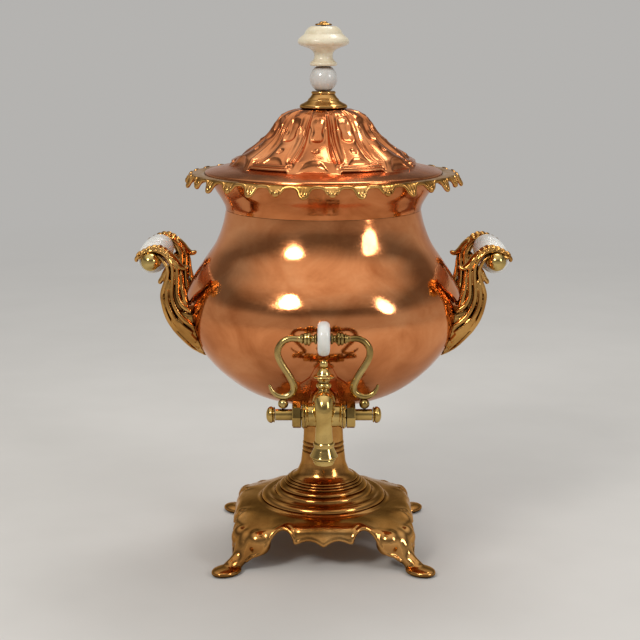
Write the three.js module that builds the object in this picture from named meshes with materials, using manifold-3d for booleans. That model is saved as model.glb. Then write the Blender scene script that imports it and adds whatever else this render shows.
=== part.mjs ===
import * as THREE from 'three';
import { mergeVertices } from 'three/addons/utils/BufferGeometryUtils.js';
import Module from 'manifold-3d';

const wasm = await Module();
wasm.setup();

// A samovar: a pear-shaped copper urn on a brass pedestal and a square brass plinth with four feet.
// A tap with a lyre-shaped lever stands at the front and a scrolled handle at each side.
// Millimetres, +Z up, the tap towards -Y. Everything is worked out around the urn's upright axis.
// The group is then shifted along Y, so that the origin lies under the middle of the whole object.

// Clearances and overruns
const seatGap = 0.3; // between two pieces that rest on each other or are fastened together
const runningGap = 0.2; // all round a piece that turns in a bore
const bezelClearance = 1.2; // between the lid's bezel and the narrowest place that it passes
const cutOverrun = 3; // how far a cutting tool runs past what it cuts
const weld = 1.5; // how deep two joined parts of one casting run into each other

// Round shapes are drawn with these numbers of flats
const bowlSegments = 32;
const turnedSegments = 16;
const smallSegments = 12;
const boreSegments = 8;
const tubeSides = 6;
const legSides = 10;
const nutFlats = 6;
const glandFlats = 10;

// Plinth
const plinthWidth = 156; // between the outer faces of two opposite aprons
const plinthHeight = 40.5; // table to the top of the plate
const plateThickness = 2.4;
const plateCornerRadius = 16;
const plateBevel = 1.1;
const apronThickness = 2.6;
const apronInset = 1; // the aprons' outer faces stand back from the plate's edge
const apronDepth = 15.7; // plate's top to the drop at the middle of an apron
const archRadius = 9.8; // round notch in an apron, two on each side
const archOffset = 34; // from the middle of the side to the middle of a notch
const archHeadroom = 0.4; // between a notch's crown and the plate's underside
const kneeRadius = 15; // leg at its thickest
const footSpan = 184; // across two feet
const footRadius = 13;
const footThickness = 5.5;

// Pedestal, and the rod that clamps urn, pedestal and plinth together
const pedestalHeight = 84.6;
const pedestalFootRadius = 54;
const stemRadius = 17.1;
const tieRodRadius = 3.2;
const tieRodTail = 3; // thread left below the nut
const tieHeadRadius = 7.5;
const tieHeadHeight = 5;
const tieNutRadius = 8;
const tieNutHeight = 6;
const tieWasherRadius = 13;
const tieWasherThickness = 1.8;
const seatRadius = 24;
const seatHeight = 4;

// Bowl, neck and rim
const bowlHeight = 165; // underside to the seam below the neck
const bellyHeight = 84; // underside to the widest place
const bowlRadius = 117;
const bowlFlatRadius = 25; // flat underside that stands on the seat
const seamRadius = 82;
const bowlWall = 1.5;
const neckHeight = 27;
const rimRadius = 116.3;
const rimOverhang = 20.3; // how far the rim stands out over the top of the neck
const rimBearing = 5; // how far it reaches in past the top of the neck
const rimBrim = 16.5; // width of its flat top, outside the lid
const rimThickness = 3.2;
const rimSkirt = 3; // thickness of the hanging edge
const ledgeDepth = 1.3; // step in the rim that takes the lid's edge
const lidSideGap = 0.5; // between the lid's edge and that step
const beadDrop = 5.5; // round drops on the hanging edge
const leafDrop = 6; // pointed drops between them
const archDrop = 0.4; // the edge at the crown of each scallop
const dropPairs = 16;
const dropTurn = THREE.MathUtils.degToRad(3.4); // first bead, from the front

// Lid
const lidWall = 1.2;
const flangeWidth = 22.3; // lid's edge to the foot of the dome, seen from above
const flangeRise = 6.5; // the same, seen from the side
const domeTopRadius = 24;
const domeHeight = 45.5;
const lobeCount = 12;
const lobeDepth = 4.6; // channel between two lobes
const toeDepth = 3; // how far the toe of every second lobe is drawn in
const lobeTurn = THREE.MathUtils.degToRad(-6); // first lobe, from the front
const segmentsPerLobe = 10;
const bezelDrop = 10; // how far the bezel reaches below the ledge
const bezelWall = 1.4;

// Finial of the lid
const finialRodRadius = 2.2;
const finialRodTail = 2;
const finialNutRadius = 5.5;
const finialNutHeight = 4;
const collarRadius = 19.8;
const collarHeight = 14.4;
const ballRadius = 11.5;
const ballHeight = 20; // between its two flats
const knobRadius = 21.3;
const knobHeight = 32.4;
const rosetteRadius = 6.6;
const rosetteHeight = 3.5;
const rosetteSocket = 2;

// Heater: a sleeve in the bowl and the iron that hangs in it
const sleeveRadius = 24;
const sleeveWall = 1.2;
const sleeveHeight = 150;
const capOverhang = 3;
const capThickness = 2.5;
const ironRadius = 17;
const ironFootGap = 13.8; // tie rod's head to the foot of the iron
const ironDrop = 18; // cap to the top of the iron
const heaterStemRadius = 3;
const heaterStemGrip = 10; // how far the stem goes into the iron and how far it stands above the cap
const ringRadius = 10;
const ringWire = 1.8;
const ringBossRadius = 5;
const ringBossHeight = 12;

// Tap
const tapRise = 21.8; // bowl's underside to the axis of the plug
const barrelRadius = 10;
const barrelHalfLength = 14.5;
const plugRadius = 7.3;
const portRadius = 3.4;
const shankRadius = 6.6;
const shankTail = 2; // thread left behind the back nut
const shankCollarRadius = 11;
const shankCollarThickness = 3.5;
const hoodRadius = 8;
const hoodHeight = 20; // plug's axis to the seat of the finial
const spoutRadius = 6.2;
const spoutReach = 30; // in front of the plug's axis
const spoutArch = 17.7; // plug's axis up to the middle of the bend
const spoutDrop = 21; // plug's axis down to the end of the tube
const nozzleRadius = 9.9;
const nozzleGrip = 9; // how far the nozzle goes up over the tube
const nozzleDrop = 8.8; // how far it reaches below the tube
const nozzleWall = 1.3;
const tapFinialRadius = 7.3;
const tapFinialHeight = 23.4;
const tapWasherRadius = 10.8;
const tapWasherThickness = 2.2;
const glandRadius = 10.6;
const glandLength = 7.1;
const escutcheonHalfWidth = 22;
const escutcheonTop = 33; // above the plug's axis
const escutcheonBottom = 13; // below it
const escutcheonThickness = 1.3;
const escutcheonBossRadius = 12;
const escutcheonBossReach = 19; // in front of the bowl, at the height of the plug's axis
const wedgeRadius = 10;
const wedgeLip = 1.5; // the wedge's thin edge, where the wall comes nearest to the back nut
const backNutRadius = 11;
const backNutThickness = 5;

// Lever of the tap
const leverClearance = 5.6; // between the lever's disc and the bowl's widest place
const discRadius = 13.4;
const discThickness = 9.8;
const leverHeight = 60; // plug's axis to the crossbar
const leverHalfSpan = 42; // middle to the tip of a hook
const leverRadius = 2.7;
const ferruleRadius = 5.5;
const ferruleLength = 14.8;
const leverPinRadius = 2;
const leverPinGrip = 6; // how far the pin goes into each ferrule
const leverBallRadius = 4;
const leverBallBite = 1; // how far each lever arm is hollowed over its ball
const spindleRadius = 4.4;
const spindleHalfLength = 37.5;
const spindleKnobRadius = 6.5;
const spindleKnobLength = 6.6;

// Handles
const armOffset = 39; // middle of the handle to the middle of an arm
const armRadius = 6.5;
const gripStandoff = 31.3; // the grip's axis in front of the bowl's belly, beside an arm
const gripRise = 43.8; // belly to the grip's axis
const handleDrop = 42; // belly to the lowest tip of the handle
const shellHalfWidth = 35;
const shellHalfLength = 27;
const shellThickness = 14;
const gripRadius = 11;
const gripLength = 66;
const gripRings = 6;
const gripGroove = 0.6;
const handleBoltRadius = 2.2;
const bossRadius = 8.5;
const bossThickness = 6.7;
const ballNutRadius = 7.1;
const ballNutSet = 5.7; // the ball nut's middle in front of its flat
const handleBoltGrip = 4; // how far the bolt goes into each ball nut
const leafRadius = 2.6;

// Heights above the table, from the bottom up
const plateBase = plinthHeight - plateThickness;
const pedestalBase = plinthHeight + seatGap;
const pedestalTop = pedestalBase + pedestalHeight;
const seatBase = pedestalTop + seatGap;
const bowlBase = seatBase + seatHeight + seatGap;
const bowlFloor = bowlBase + bowlWall;
const bellyZ = bowlBase + bellyHeight;
const seamZ = bowlBase + bowlHeight;
const neckBase = seamZ + seatGap;
const neckTop = neckBase + neckHeight;
const rimBase = neckTop + seatGap;
const rimTop = rimBase + rimThickness;
const lidBase = rimTop - ledgeDepth + seatGap;
const flangeTop = lidBase + lidWall;
const domeBase = flangeTop + flangeRise;
const domeTop = domeBase + domeHeight;
const tapZ = bowlBase + tapRise;
const gripZ = bellyZ + gripRise;

// Places measured from the urn's axis
const tapReach = bowlRadius + leverClearance + discRadius;
const neckTopRadius = rimRadius - rimOverhang;
const rimInnerRadius = neckTopRadius - rimBearing;
const ledgeRadius = rimRadius - rimBrim;
const lidRadius = ledgeRadius - lidSideGap;
const domeFootRadius = lidRadius - flangeWidth;
const footCentre = footSpan / 2 - footRadius;
const bellyBesideArm = Math.sqrt(bowlRadius ** 2 - armOffset ** 2);
const gripX = bellyBesideArm + gripStandoff;

// Materials
const copper = metal('#c8824f', 0.22);
const brass = metal('#cf9a52', 0.26);
const tapBrass = metal('#c9a362', 0.28);
const darkBrass = metal('#a9713a', 0.3);
const tinnedCopper = metal('#b9aa98', 0.4);
const steel = metal('#8f9092', 0.4);
const iron = metal('#4a4643', 0.7);
const whiteCeramic = ceramic('#e9e8e4');
const creamCeramic = ceramic('#e6dcc0');

function metal(color, roughness) {
  return new THREE.MeshStandardMaterial({ color, roughness, metalness: 1 });
}

function ceramic(color) {
  return new THREE.MeshStandardMaterial({ color, roughness: 0.25, metalness: 0 });
}

// Closed solids from three.js geometries, and back again

function volumeOf(position, index) {
  const corners = [new THREE.Vector3(), new THREE.Vector3(), new THREE.Vector3()];
  let volume = 0;
  for (let i = 0; i < index.length; i += 3) {
    corners.forEach((corner, k) => corner.fromBufferAttribute(position, index[i + k]));
    volume += corners[0].dot(corners[1].cross(corners[2])) / 6;
  }
  return volume;
}

function solid(geometry) {
  const bare = geometry.clone();
  bare.deleteAttribute('normal');
  bare.deleteAttribute('uv');
  const merged = mergeVertices(bare);
  const position = merged.getAttribute('position');
  const index = [];
  for (let i = 0; i < merged.index.count; i += 3) {
    const [a, b, c] = [0, 1, 2].map((k) => merged.index.getX(i + k));
    if (a !== b && b !== c && c !== a) index.push(a, b, c);
  }
  if (volumeOf(position, index) < 0) index.reverse();
  return new wasm.Manifold(new wasm.Mesh({
    numProp: 3,
    vertProperties: new Float32Array(position.array),
    triVerts: new Uint32Array(index),
  }));
}

function geometryOf(manifold) {
  const mesh = manifold.getMesh();
  const geometry = new THREE.BufferGeometry();
  geometry.setAttribute('position', new THREE.BufferAttribute(new Float32Array(mesh.vertProperties), 3));
  geometry.setIndex(new THREE.BufferAttribute(new Uint32Array(mesh.triVerts), 1));
  geometry.computeVertexNormals();
  return geometry;
}

function join(...manifolds) {
  return manifolds.reduce((whole, next) => whole.add(next));
}

function cut(manifold, ...tools) {
  return tools.reduce((rest, tool) => rest.subtract(tool), manifold);
}

// Outlines: pairs of shares along two spans, and a smooth line through them

function placed(shares, radiusFrom, radiusTo, low, high) {
  return shares.map(([radius, height]) => new THREE.Vector2(
    THREE.MathUtils.lerp(radiusFrom, radiusTo, radius),
    THREE.MathUtils.lerp(low, high, height),
  ));
}

function smooth(points, count) {
  return new THREE.SplineCurve(points).getPoints(count);
}

// Moves each point of an outline at right angles to it, away from the axis where the distance is positive
function offset(points, distance) {
  return points.map((point, i) => {
    const before = points[Math.max(i - 1, 0)];
    const after = points[Math.min(i + 1, points.length - 1)];
    const along = after.clone().sub(before).normalize();
    return new THREE.Vector2(point.x + along.y * distance, point.y - along.x * distance);
  });
}

function radiusAt(points, height) {
  const i = Math.max(1, points.findIndex((point) => point.y >= height));
  const [low, high] = [points[i - 1], points[i]];
  return THREE.MathUtils.mapLinear(height, low.y, high.y, low.x, high.x);
}

// A wall of even thickness inside an outline, with both ends cut level
function wallOf(outline, wall) {
  const inner = offset(outline, -wall);
  inner[inner.length - 1].y = outline[outline.length - 1].y;
  return [...outline, ...inner.reverse()];
}

// Turned solids: the outline runs up on the outside and ends on the axis or where it began

function turned(points, segments = turnedSegments) {
  return new THREE.LatheGeometry([...points, points[0]], segments).rotateX(Math.PI / 2);
}

function turnedSolid(points, segments) {
  return solid(turned(points, segments));
}

function rod(radius, from, to, segments = smallSegments) {
  const geometry = new THREE.CylinderGeometry(radius, radius, to - from, segments);
  return geometry.rotateX(Math.PI / 2).translate(0, 0, (from + to) / 2);
}

function bore(radius, from, to, segments = boreSegments) {
  return solid(rod(radius, from - cutOverrun, to + cutOverrun, segments));
}

function hexNut(radius, holeRadius, from, to, holeSegments = boreSegments) {
  return cut(solid(rod(radius, from, to, nutFlats)), bore(holeRadius, from, to, holeSegments));
}

function ring(outer, inner, from, to, segments = turnedSegments) {
  const points = [[inner, from], [outer, from], [outer, to], [inner, to]];
  return turned(points.map(([radius, height]) => new THREE.Vector2(radius, height)), segments);
}

// A turned piece with a hole along its axis, from an outline in shares of its radius and height
function beadOn(shares, radius, holeRadius, low, high, segments = turnedSegments) {
  const outline = placed(shares, 0, radius, low, high);
  const ends = [new THREE.Vector2(holeRadius, high), new THREE.Vector2(holeRadius, low)];
  return turned([...outline, ...ends], segments);
}

// Closed skins over a row of rings with equal numbers of points

function skin(rings) {
  const sides = rings[0].length;
  const points = rings.flat();
  const index = [];
  for (let i = 0; i < rings.length - 1; i++) {
    for (let j = 0; j < sides; j++) {
      const [a, b] = [i * sides + j, i * sides + (j + 1) % sides];
      index.push(a, b, b + sides, a, b + sides, a + sides);
    }
  }
  const last = (rings.length - 1) * sides;
  for (let j = 1; j < sides - 1; j++) {
    index.push(0, j + 1, j, last, last + j, last + j + 1);
  }
  return new THREE.BufferGeometry().setFromPoints(points).setIndex(index);
}

// A round bar along a curve, whose radius follows a list of shares
function bar(curve, radius, radiusShares, steps) {
  const frames = curve.computeFrenetFrames(steps, false);
  const rings = [];
  for (let i = 0; i <= steps; i++) {
    const place = i / steps * (radiusShares.length - 1);
    const k = Math.min(Math.floor(place), radiusShares.length - 2);
    const share = THREE.MathUtils.lerp(radiusShares[k], radiusShares[k + 1], place - k);
    const centre = curve.getPointAt(i / steps);
    rings.push(Array.from({ length: tubeSides }, (_, j) => {
      const angle = 2 * Math.PI * j / tubeSides;
      return centre.clone()
        .addScaledVector(frames.normals[i], Math.cos(angle) * share * radius)
        .addScaledVector(frames.binormals[i], Math.sin(angle) * share * radius);
    }));
  }
  return skin(rings);
}

function curveThrough(points) {
  return new THREE.CatmullRomCurve3(points, false, 'centripetal');
}

// Nodes of the scene

function node(group, name, shape, material) {
  const geometry = shape instanceof THREE.BufferGeometry ? geometryOf(solid(shape)) : geometryOf(shape);
  const mesh = new THREE.Mesh(geometry, material);
  mesh.name = name;
  group.add(mesh);
  return mesh;
}

const samovar = new THREE.Group();
samovar.name = 'samovar';

// Plinth

function plinthPlate() {
  const half = plinthWidth / 2;
  const flat = half - plateCornerRadius;
  const outline = new THREE.Shape();
  outline.moveTo(-flat, -half);
  outline.lineTo(flat, -half);
  outline.absarc(flat, -flat, plateCornerRadius, -Math.PI / 2, 0);
  outline.absarc(flat, flat, plateCornerRadius, 0, Math.PI / 2);
  outline.absarc(-flat, flat, plateCornerRadius, Math.PI / 2, Math.PI);
  outline.absarc(-flat, -flat, plateCornerRadius, Math.PI, 3 * Math.PI / 2);
  const geometry = new THREE.ExtrudeGeometry(outline, {
    depth: plateThickness - 2 * plateBevel,
    bevelThickness: plateBevel,
    bevelSize: plateBevel,
    bevelOffset: -plateBevel,
    bevelSegments: 1,
    curveSegments: 4,
  });
  return solid(geometry.translate(0, 0, plateBase + plateBevel));
}

// Lower edge of half an apron: shares of the half width, and of the depth below the plate's top
const apronEdgeShares = [
  [0, 1], [0.04, 0.87], [0.09, 0.7], [0.19, 0.46], [0.3, 0.55], [0.37, 0.8],
  [0.52, 0.8], [0.75, 0.8], [0.86, 0.95], [1, 1.1],
];

function apron() {
  const half = plinthWidth / 2 - kneeRadius;
  const edge = apronEdgeShares.map(([across, down]) => [half * across, plinthHeight - apronDepth * down]);
  const outline = new THREE.Shape();
  outline.moveTo(-half, plateBase + plateThickness / 2);
  edge.slice().reverse().forEach(([x, z]) => outline.lineTo(-x, z));
  edge.slice(1).forEach(([x, z]) => outline.lineTo(x, z));
  outline.lineTo(half, plateBase + plateThickness / 2);
  const geometry = new THREE.ExtrudeGeometry(outline, { depth: apronThickness, bevelEnabled: false });
  const back = apronInset + apronThickness - plinthWidth / 2;
  const standing = geometry.rotateX(Math.PI / 2).translate(0, back, 0);
  const archZ = plateBase - archHeadroom - archRadius;
  const notches = [-archOffset, archOffset].map((x) => {
    const run = cutOverrun + apronThickness;
    return solid(rod(archRadius, -run, run).rotateX(Math.PI / 2).translate(x, -plinthWidth / 2, archZ));
  });
  return cut(solid(standing), ...notches);
}

// Leg: places from the knee to the foot, shares of the plinth's height, and of the knee's radius
const legShares = [
  [0, 0.95, 0.92], [0, 0.76, 1], [0.16, 0.5, 0.87], [0.44, 0.32, 0.68], [0.74, 0.21, 0.5], [0.9, 0.08, 0.52],
];
const footShares = [[0, 0], [0.86, 0], [1, 0.4], [0.94, 0.75], [0.6, 1], [0, 1]];

function leg() {
  const knee = plinthWidth / 2 - kneeRadius;
  const rings = legShares.map(([along, up, thick]) => {
    const middle = THREE.MathUtils.lerp(knee, footCentre, along);
    return Array.from({ length: legSides }, (_, j) => {
      const angle = 2 * Math.PI * j / legSides;
      return new THREE.Vector3(
        middle + kneeRadius * thick * Math.cos(angle),
        -middle + kneeRadius * thick * Math.sin(angle),
        plinthHeight * up,
      );
    });
  });
  const pad = turned(placed(footShares, 0, footRadius, 0, footThickness), smallSegments);
  return join(solid(skin(rings)), solid(pad.translate(footCentre, -footCentre, 0)));
}

function plinth() {
  const side = join(apron(), leg());
  const sides = [0, 90, 180, 270].map((turn) => side.rotate([0, 0, turn]));
  return cut(join(plinthPlate(), ...sides), bore(tieRodRadius + seatGap, plateBase, plinthHeight));
}

// Pedestal: shares from the stem's radius out to the foot's, and of the height
const pedestalShares = [
  [0.962, 0], [1, 0.019], [0.967, 0.047], [0.865, 0.066], [0.778, 0.06], [0.745, 0.087], [0.645, 0.106],
  [0.566, 0.134], [0.485, 0.157], [0.43, 0.188], [0.377, 0.204], [0.404, 0.219], [0.24, 0.254],
  [0.168, 0.277], [0.106, 0.334], [0.05, 0.43], [0, 0.64], [0, 1],
];
const seatShares = [[0.8, 0], [0.74, 0.35], [1, 0.75], [1, 1]];

function pedestal() {
  const outline = placed(pedestalShares, stemRadius, pedestalFootRadius, pedestalBase, pedestalTop);
  const hole = tieRodRadius + seatGap;
  return turned([...outline, new THREE.Vector2(hole, pedestalTop), new THREE.Vector2(hole, pedestalBase)]);
}

function baseParts() {
  const group = new THREE.Group();
  const hole = tieRodRadius + seatGap;
  const washerTop = plateBase - seatGap;
  const nutTop = washerTop - tieWasherThickness - seatGap;
  const nutBase = nutTop - tieNutHeight;
  node(group, 'plinth', plinth(), brass);
  node(group, 'pedestal', pedestal(), brass);
  node(group, 'bowl_seat', beadOn(seatShares, seatRadius, hole, seatBase, seatBase + seatHeight), brass);
  node(group, 'plinth_washer', ring(tieWasherRadius, hole, washerTop - tieWasherThickness, washerTop), steel);
  node(group, 'tie_rod_nut', hexNut(tieNutRadius, hole, nutBase, nutTop), steel);
  const shaft = solid(rod(tieRodRadius, nutBase - tieRodTail, headBase + weld, boreSegments));
  const head = solid(rod(tieHeadRadius, headBase, headBase + tieHeadHeight, nutFlats));
  node(group, 'tie_rod', join(shaft, head), steel);
  return group;
}

// Bowl: shares of the radius and height, from the flat underside out to the belly, then up to the seam
const lowerBowlShares = [
  [0, 0], [0.217, 0.048], [0.424, 0.131], [0.674, 0.326], [0.845, 0.532], [0.957, 0.726], [1, 1],
];
const upperBowlShares = [
  [1, 0], [0.943, 0.148], [0.771, 0.296], [0.52, 0.479], [0.24, 0.648], [0.071, 0.852], [0, 1],
];
const neckShares = [[0, 0], [0.28, 0.34], [0.57, 0.58], [1, 1]];

const bowlLine = [
  ...smooth(placed(lowerBowlShares, bowlFlatRadius, bowlRadius, bowlBase, bellyZ), 6),
  ...smooth(placed(upperBowlShares, seamRadius, bowlRadius, bellyZ, seamZ), 6).slice(1),
];
const neckLine = placed(neckShares, seamRadius, neckTopRadius, neckBase, neckTop);

// The bowl's outside, moved out by a distance, as one closed body for cutting what stands against it
function bowlBody(distance) {
  const line = offset(bowlLine, distance);
  const [bottom, top] = [line[0], line[line.length - 1]];
  return turnedSolid([new THREE.Vector2(0, bottom.y), ...line, new THREE.Vector2(0, top.y)], bowlSegments);
}

function bowlShell() {
  const hole = tieRodRadius + seatGap;
  const outline = [new THREE.Vector2(hole, bowlBase), ...bowlLine];
  const shell = turnedSolid(wallOf(outline, bowlWall), bowlSegments);
  return cut(shell, shankHole());
}

// Lays an upright shape along -Y at the height of the tap
function forTap(geometry) {
  return solid(geometry.rotateX(Math.PI / 2).translate(0, 0, tapZ));
}

function shankHole() {
  return forTap(rod(shankRadius + seatGap, 0, tapReach));
}

// The flat face that the back nut bears on, as a distance from the urn's axis
const wedgeFace = radiusAt(offset(bowlLine, -bowlWall), tapZ - backNutRadius) - wedgeLip;

// Rim: a flat brass ring with a ledge for the lid and a hanging edge of beads and leaves
function rimEdgeDrop(angle) {
  const turns = (angle - dropTurn) / (2 * Math.PI) * dropPairs;
  const wave = Math.cos(2 * Math.PI * turns);
  const drop = wave > 0 ? beadDrop : leafDrop;
  return Math.max(archDrop, drop * Math.abs(wave) ** 1.5);
}

function rim() {
  const skirtInner = rimRadius - rimSkirt;
  const ledge = rimTop - ledgeDepth;
  const outline = [
    [skirtInner, rimBase - archDrop], [rimRadius, rimBase - archDrop], [rimRadius, rimTop],
    [ledgeRadius, rimTop], [ledgeRadius, ledge], [rimInnerRadius, ledge], [rimInnerRadius, rimBase],
    [skirtInner, rimBase],
  ];
  const line = outline.map(([radius, height]) => new THREE.Vector2(radius, height));
  const geometry = turned(line, 6 * dropPairs);
  const position = geometry.getAttribute('position');
  for (let i = 0; i < position.count; i++) {
    if (position.getZ(i) < rimBase - archDrop / 2) {
      const angle = Math.atan2(position.getX(i), -position.getY(i)) + dropTurn;
      position.setZ(i, rimBase - rimEdgeDrop(angle));
    }
  }
  return geometry.rotateZ(dropTurn);
}

// The heater's sleeve stands on the bowl's floor, under the head of the tie rod
const sleeveBase = bowlFloor + seatGap;
const sleeveTop = sleeveBase + sleeveHeight;
const capBase = sleeveTop + seatGap;
const capTop = capBase + capThickness;
const headBase = sleeveBase + sleeveWall + seatGap;

function heaterSleeve() {
  const hole = tieRodRadius + seatGap;
  const inner = sleeveRadius - sleeveWall;
  const outline = [
    [hole, sleeveBase], [sleeveRadius, sleeveBase], [sleeveRadius, sleeveTop], [inner, sleeveTop],
    [inner, sleeveBase + sleeveWall], [hole, sleeveBase + sleeveWall],
  ];
  return turned(outline.map(([radius, height]) => new THREE.Vector2(radius, height)));
}

function urnParts() {
  const group = new THREE.Group();
  node(group, 'heater_sleeve', heaterSleeve(), tinnedCopper);
  node(group, 'bowl', bowlShell(), copper);
  node(group, 'neck', turned(wallOf(neckLine, bowlWall), bowlSegments), copper);
  node(group, 'scalloped_rim', rim(), brass);
  return group;
}

// Lid: shares from the dome's top radius out to its foot, and of the dome's height
const domeShares = [
  [1, 0], [1, 0.1], [0.91, 0.185], [0.62, 0.37], [0.41, 0.58], [0.26, 0.82], [0.13, 0.945], [0, 1],
];
const lobeFootShare = 0.15; // of the dome's height, in which the lobes rise out of the round foot
const toeShare = 0.45; // of the dome's height, up to which a toe is drawn in
const channelShiftShare = 0.25; // the open lobes are wider than the ones between them
const channelSpreadShare = 0.5;

// How far a point of the dome lies below the crests: in a channel, or at the toe of every second lobe
function lobeDrop(angle, height) {
  const wave = Math.cos(lobeCount * (angle - lobeTurn) / 2); // 1 on an open lobe, -1 on the next
  const share = THREE.MathUtils.clamp((height - domeBase) / domeHeight, 0, 1);
  const across = Math.exp(-(((wave + channelShiftShare) / channelSpreadShare) ** 2));
  const channel = lobeDepth * across * (1 - share ** 4);
  const toe = toeDepth * Math.max(0, -wave) ** 2 * Math.max(0, 1 - share / toeShare);
  return Math.min(1, share / lobeFootShare) * Math.max(channel, toe);
}

const lidOutside = [
  new THREE.Vector2(lidRadius, flangeTop),
  ...placed(domeShares, domeTopRadius, domeFootRadius, domeBase, domeTop),
  new THREE.Vector2(finialRodRadius + seatGap, domeTop),
];

// The inside runs parallel to the outside, with its first and last points level with the edge and the top
function lidInside() {
  const inside = offset(lidOutside, -lidWall);
  inside[0].set(lidRadius, lidBase);
  inside[inside.length - 1].set(finialRodRadius + seatGap, domeTop - lidWall);
  return inside;
}

function lidDome() {
  const geometry = turned([...lidOutside, ...lidInside().reverse()], lobeCount * segmentsPerLobe);
  const position = geometry.getAttribute('position');
  for (let i = 0; i < position.count; i++) {
    const [x, y, z] = [position.getX(i), position.getY(i), position.getZ(i)];
    const radius = Math.hypot(x, y);
    if (radius > domeTopRadius / 2) {
      const inward = (radius - lobeDrop(Math.atan2(x, -y), z)) / radius;
      position.setXY(i, x * inward, y * inward);
    }
  }
  return geometry;
}

function lidBezel() {
  const bottom = rimTop - ledgeDepth - bezelDrop;
  const outer = Math.min(radiusAt(offset(neckLine, -bowlWall), bottom), rimInnerRadius) - bezelClearance;
  const inner = outer - bezelWall;
  const foot = lidInside()[1];
  const under = (radius) =>
    THREE.MathUtils.mapLinear(radius, foot.x, lidRadius, foot.y, lidBase) - seatGap;
  const outline = [[inner, bottom], [outer, bottom], [outer, under(outer)], [inner, under(inner)]];
  return turned(outline.map(([radius, height]) => new THREE.Vector2(radius, height)), bowlSegments);
}

const collarShares = [
  [0.97, 0], [1, 0.16], [0.9, 0.32], [0.66, 0.46], [0.6, 0.58], [0.5, 0.72], [0.46, 0.84],
  [0.51, 0.9], [0.51, 1],
];
const knobShares = [
  [0.5, 0], [0.52, 0.07], [0.42, 0.13], [0.36, 0.24], [0.42, 0.34], [0.62, 0.42], [0.88, 0.48], [1, 0.58],
  [0.95, 0.68], [0.78, 0.76], [0.72, 0.84], [0.6, 0.94], [0.4, 1],
];
const rosetteShares = [[0.95, 0], [1, 0.3], [0.8, 0.7], [0.4, 1], [0, 1]];

function ballOutline(radius, low, high, steps) {
  const half = (high - low) / 2;
  const reach = Math.asin(half / radius);
  return Array.from({ length: steps + 1 }, (_, i) => {
    const angle = THREE.MathUtils.lerp(-reach, reach, i / steps);
    return new THREE.Vector2(radius * Math.cos(angle), low + half + radius * Math.sin(angle));
  });
}

function finialBall(low, high) {
  const hole = finialRodRadius + seatGap;
  const outline = ballOutline(ballRadius, low, high, 7);
  return turned([...outline, new THREE.Vector2(hole, high), new THREE.Vector2(hole, low)], smallSegments);
}

function finialParts(group) {
  const hole = finialRodRadius + seatGap;
  const collarBase = domeTop + seatGap;
  const collarTop = collarBase + collarHeight;
  const ballBase = collarTop + seatGap;
  const knobBase = ballBase + ballHeight + seatGap;
  const rosetteBase = knobBase + knobHeight + seatGap;
  const nutTop = domeTop - lidWall - seatGap;
  const nutBase = nutTop - finialNutHeight;
  const collar = beadOn(collarShares, collarRadius, hole, collarBase, collarTop, smallSegments);
  node(group, 'finial_collar', collar, brass);
  node(group, 'finial_ball', finialBall(ballBase, ballBase + ballHeight), whiteCeramic);
  const knob = beadOn(knobShares, knobRadius, hole, knobBase, knobBase + knobHeight, smallSegments);
  node(group, 'finial_knob', knob, creamCeramic);
  const petals = placed(rosetteShares, 0, rosetteRadius, rosetteBase, rosetteBase + rosetteHeight);
  const rosette = turnedSolid([new THREE.Vector2(0, rosetteBase), ...petals], smallSegments);
  const socket = solid(rod(hole, rosetteBase - cutOverrun, rosetteBase + rosetteSocket, boreSegments));
  node(group, 'finial_rosette', cut(rosette, socket), brass);
  node(group, 'finial_nut', hexNut(finialNutRadius, hole, nutBase, nutTop), brass);
  const rodTop = rosetteBase + rosetteSocket - seatGap;
  node(group, 'finial_rod', rod(finialRodRadius, nutBase - finialRodTail, rodTop, boreSegments), steel);
}

function lidParts() {
  const group = new THREE.Group();
  node(group, 'lid_dome', lidDome(), copper);
  node(group, 'lid_bezel', lidBezel(), tinnedCopper);
  finialParts(group);
  return group;
}

// Heater

function heaterRing() {
  const base = capTop + seatGap;
  const boss = solid(rod(ringBossRadius, base, base + ringBossHeight, boreSegments));
  const loop = new THREE.TorusGeometry(ringRadius, ringWire, 5, smallSegments).rotateX(Math.PI / 2);
  const loopZ = base + ringBossHeight + ringRadius;
  const socketTop = base + heaterStemGrip + seatGap;
  const socket = solid(rod(heaterStemRadius + seatGap, base - cutOverrun, socketTop, boreSegments));
  return cut(join(boss, solid(loop.translate(0, 0, loopZ))), socket);
}

function heaterParts() {
  const group = new THREE.Group();
  const hole = heaterStemRadius + seatGap;
  const ironTop = capBase - ironDrop;
  const socket = rod(hole, ironTop - heaterStemGrip - seatGap, ironTop + cutOverrun, boreSegments);
  const ironBody = solid(rod(ironRadius, headBase + tieHeadHeight + ironFootGap, ironTop));
  node(group, 'heater_iron', cut(ironBody, solid(socket)), iron);
  const stem = rod(heaterStemRadius, ironTop - heaterStemGrip, capTop + heaterStemGrip, boreSegments);
  node(group, 'heater_stem', stem, iron);
  node(group, 'heater_cap', ring(sleeveRadius + capOverhang, hole, capBase, capTop), tinnedCopper);
  node(group, 'heater_ring', heaterRing(), iron);
  return group;
}

// Tap. Its group stands at the middle of the plug, and turned shapes are laid along X where they need it.

function alongX(geometry, side = 1) {
  return geometry.rotateY(side * Math.PI / 2);
}

function alongY(geometry) {
  return geometry.rotateX(-Math.PI / 2);
}

// Shares of the spout's reach, and of its rise up to the bend or its drop below the plug's axis
const spoutRiseShares = [[0.1, 0.1], [0.4, 0.48], [0.62, 0.88], [0.83, 1], [0.97, 0.78], [1, 0.4]];

function spoutLine(overrun) {
  const bend = spoutRiseShares.map(([out, up]) => new THREE.Vector3(0, -spoutReach * out, spoutArch * up));
  const end = [0, spoutDrop + overrun].map((down) => new THREE.Vector3(0, -spoutReach, -down));
  return curveThrough([...bend, ...end]);
}

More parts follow.
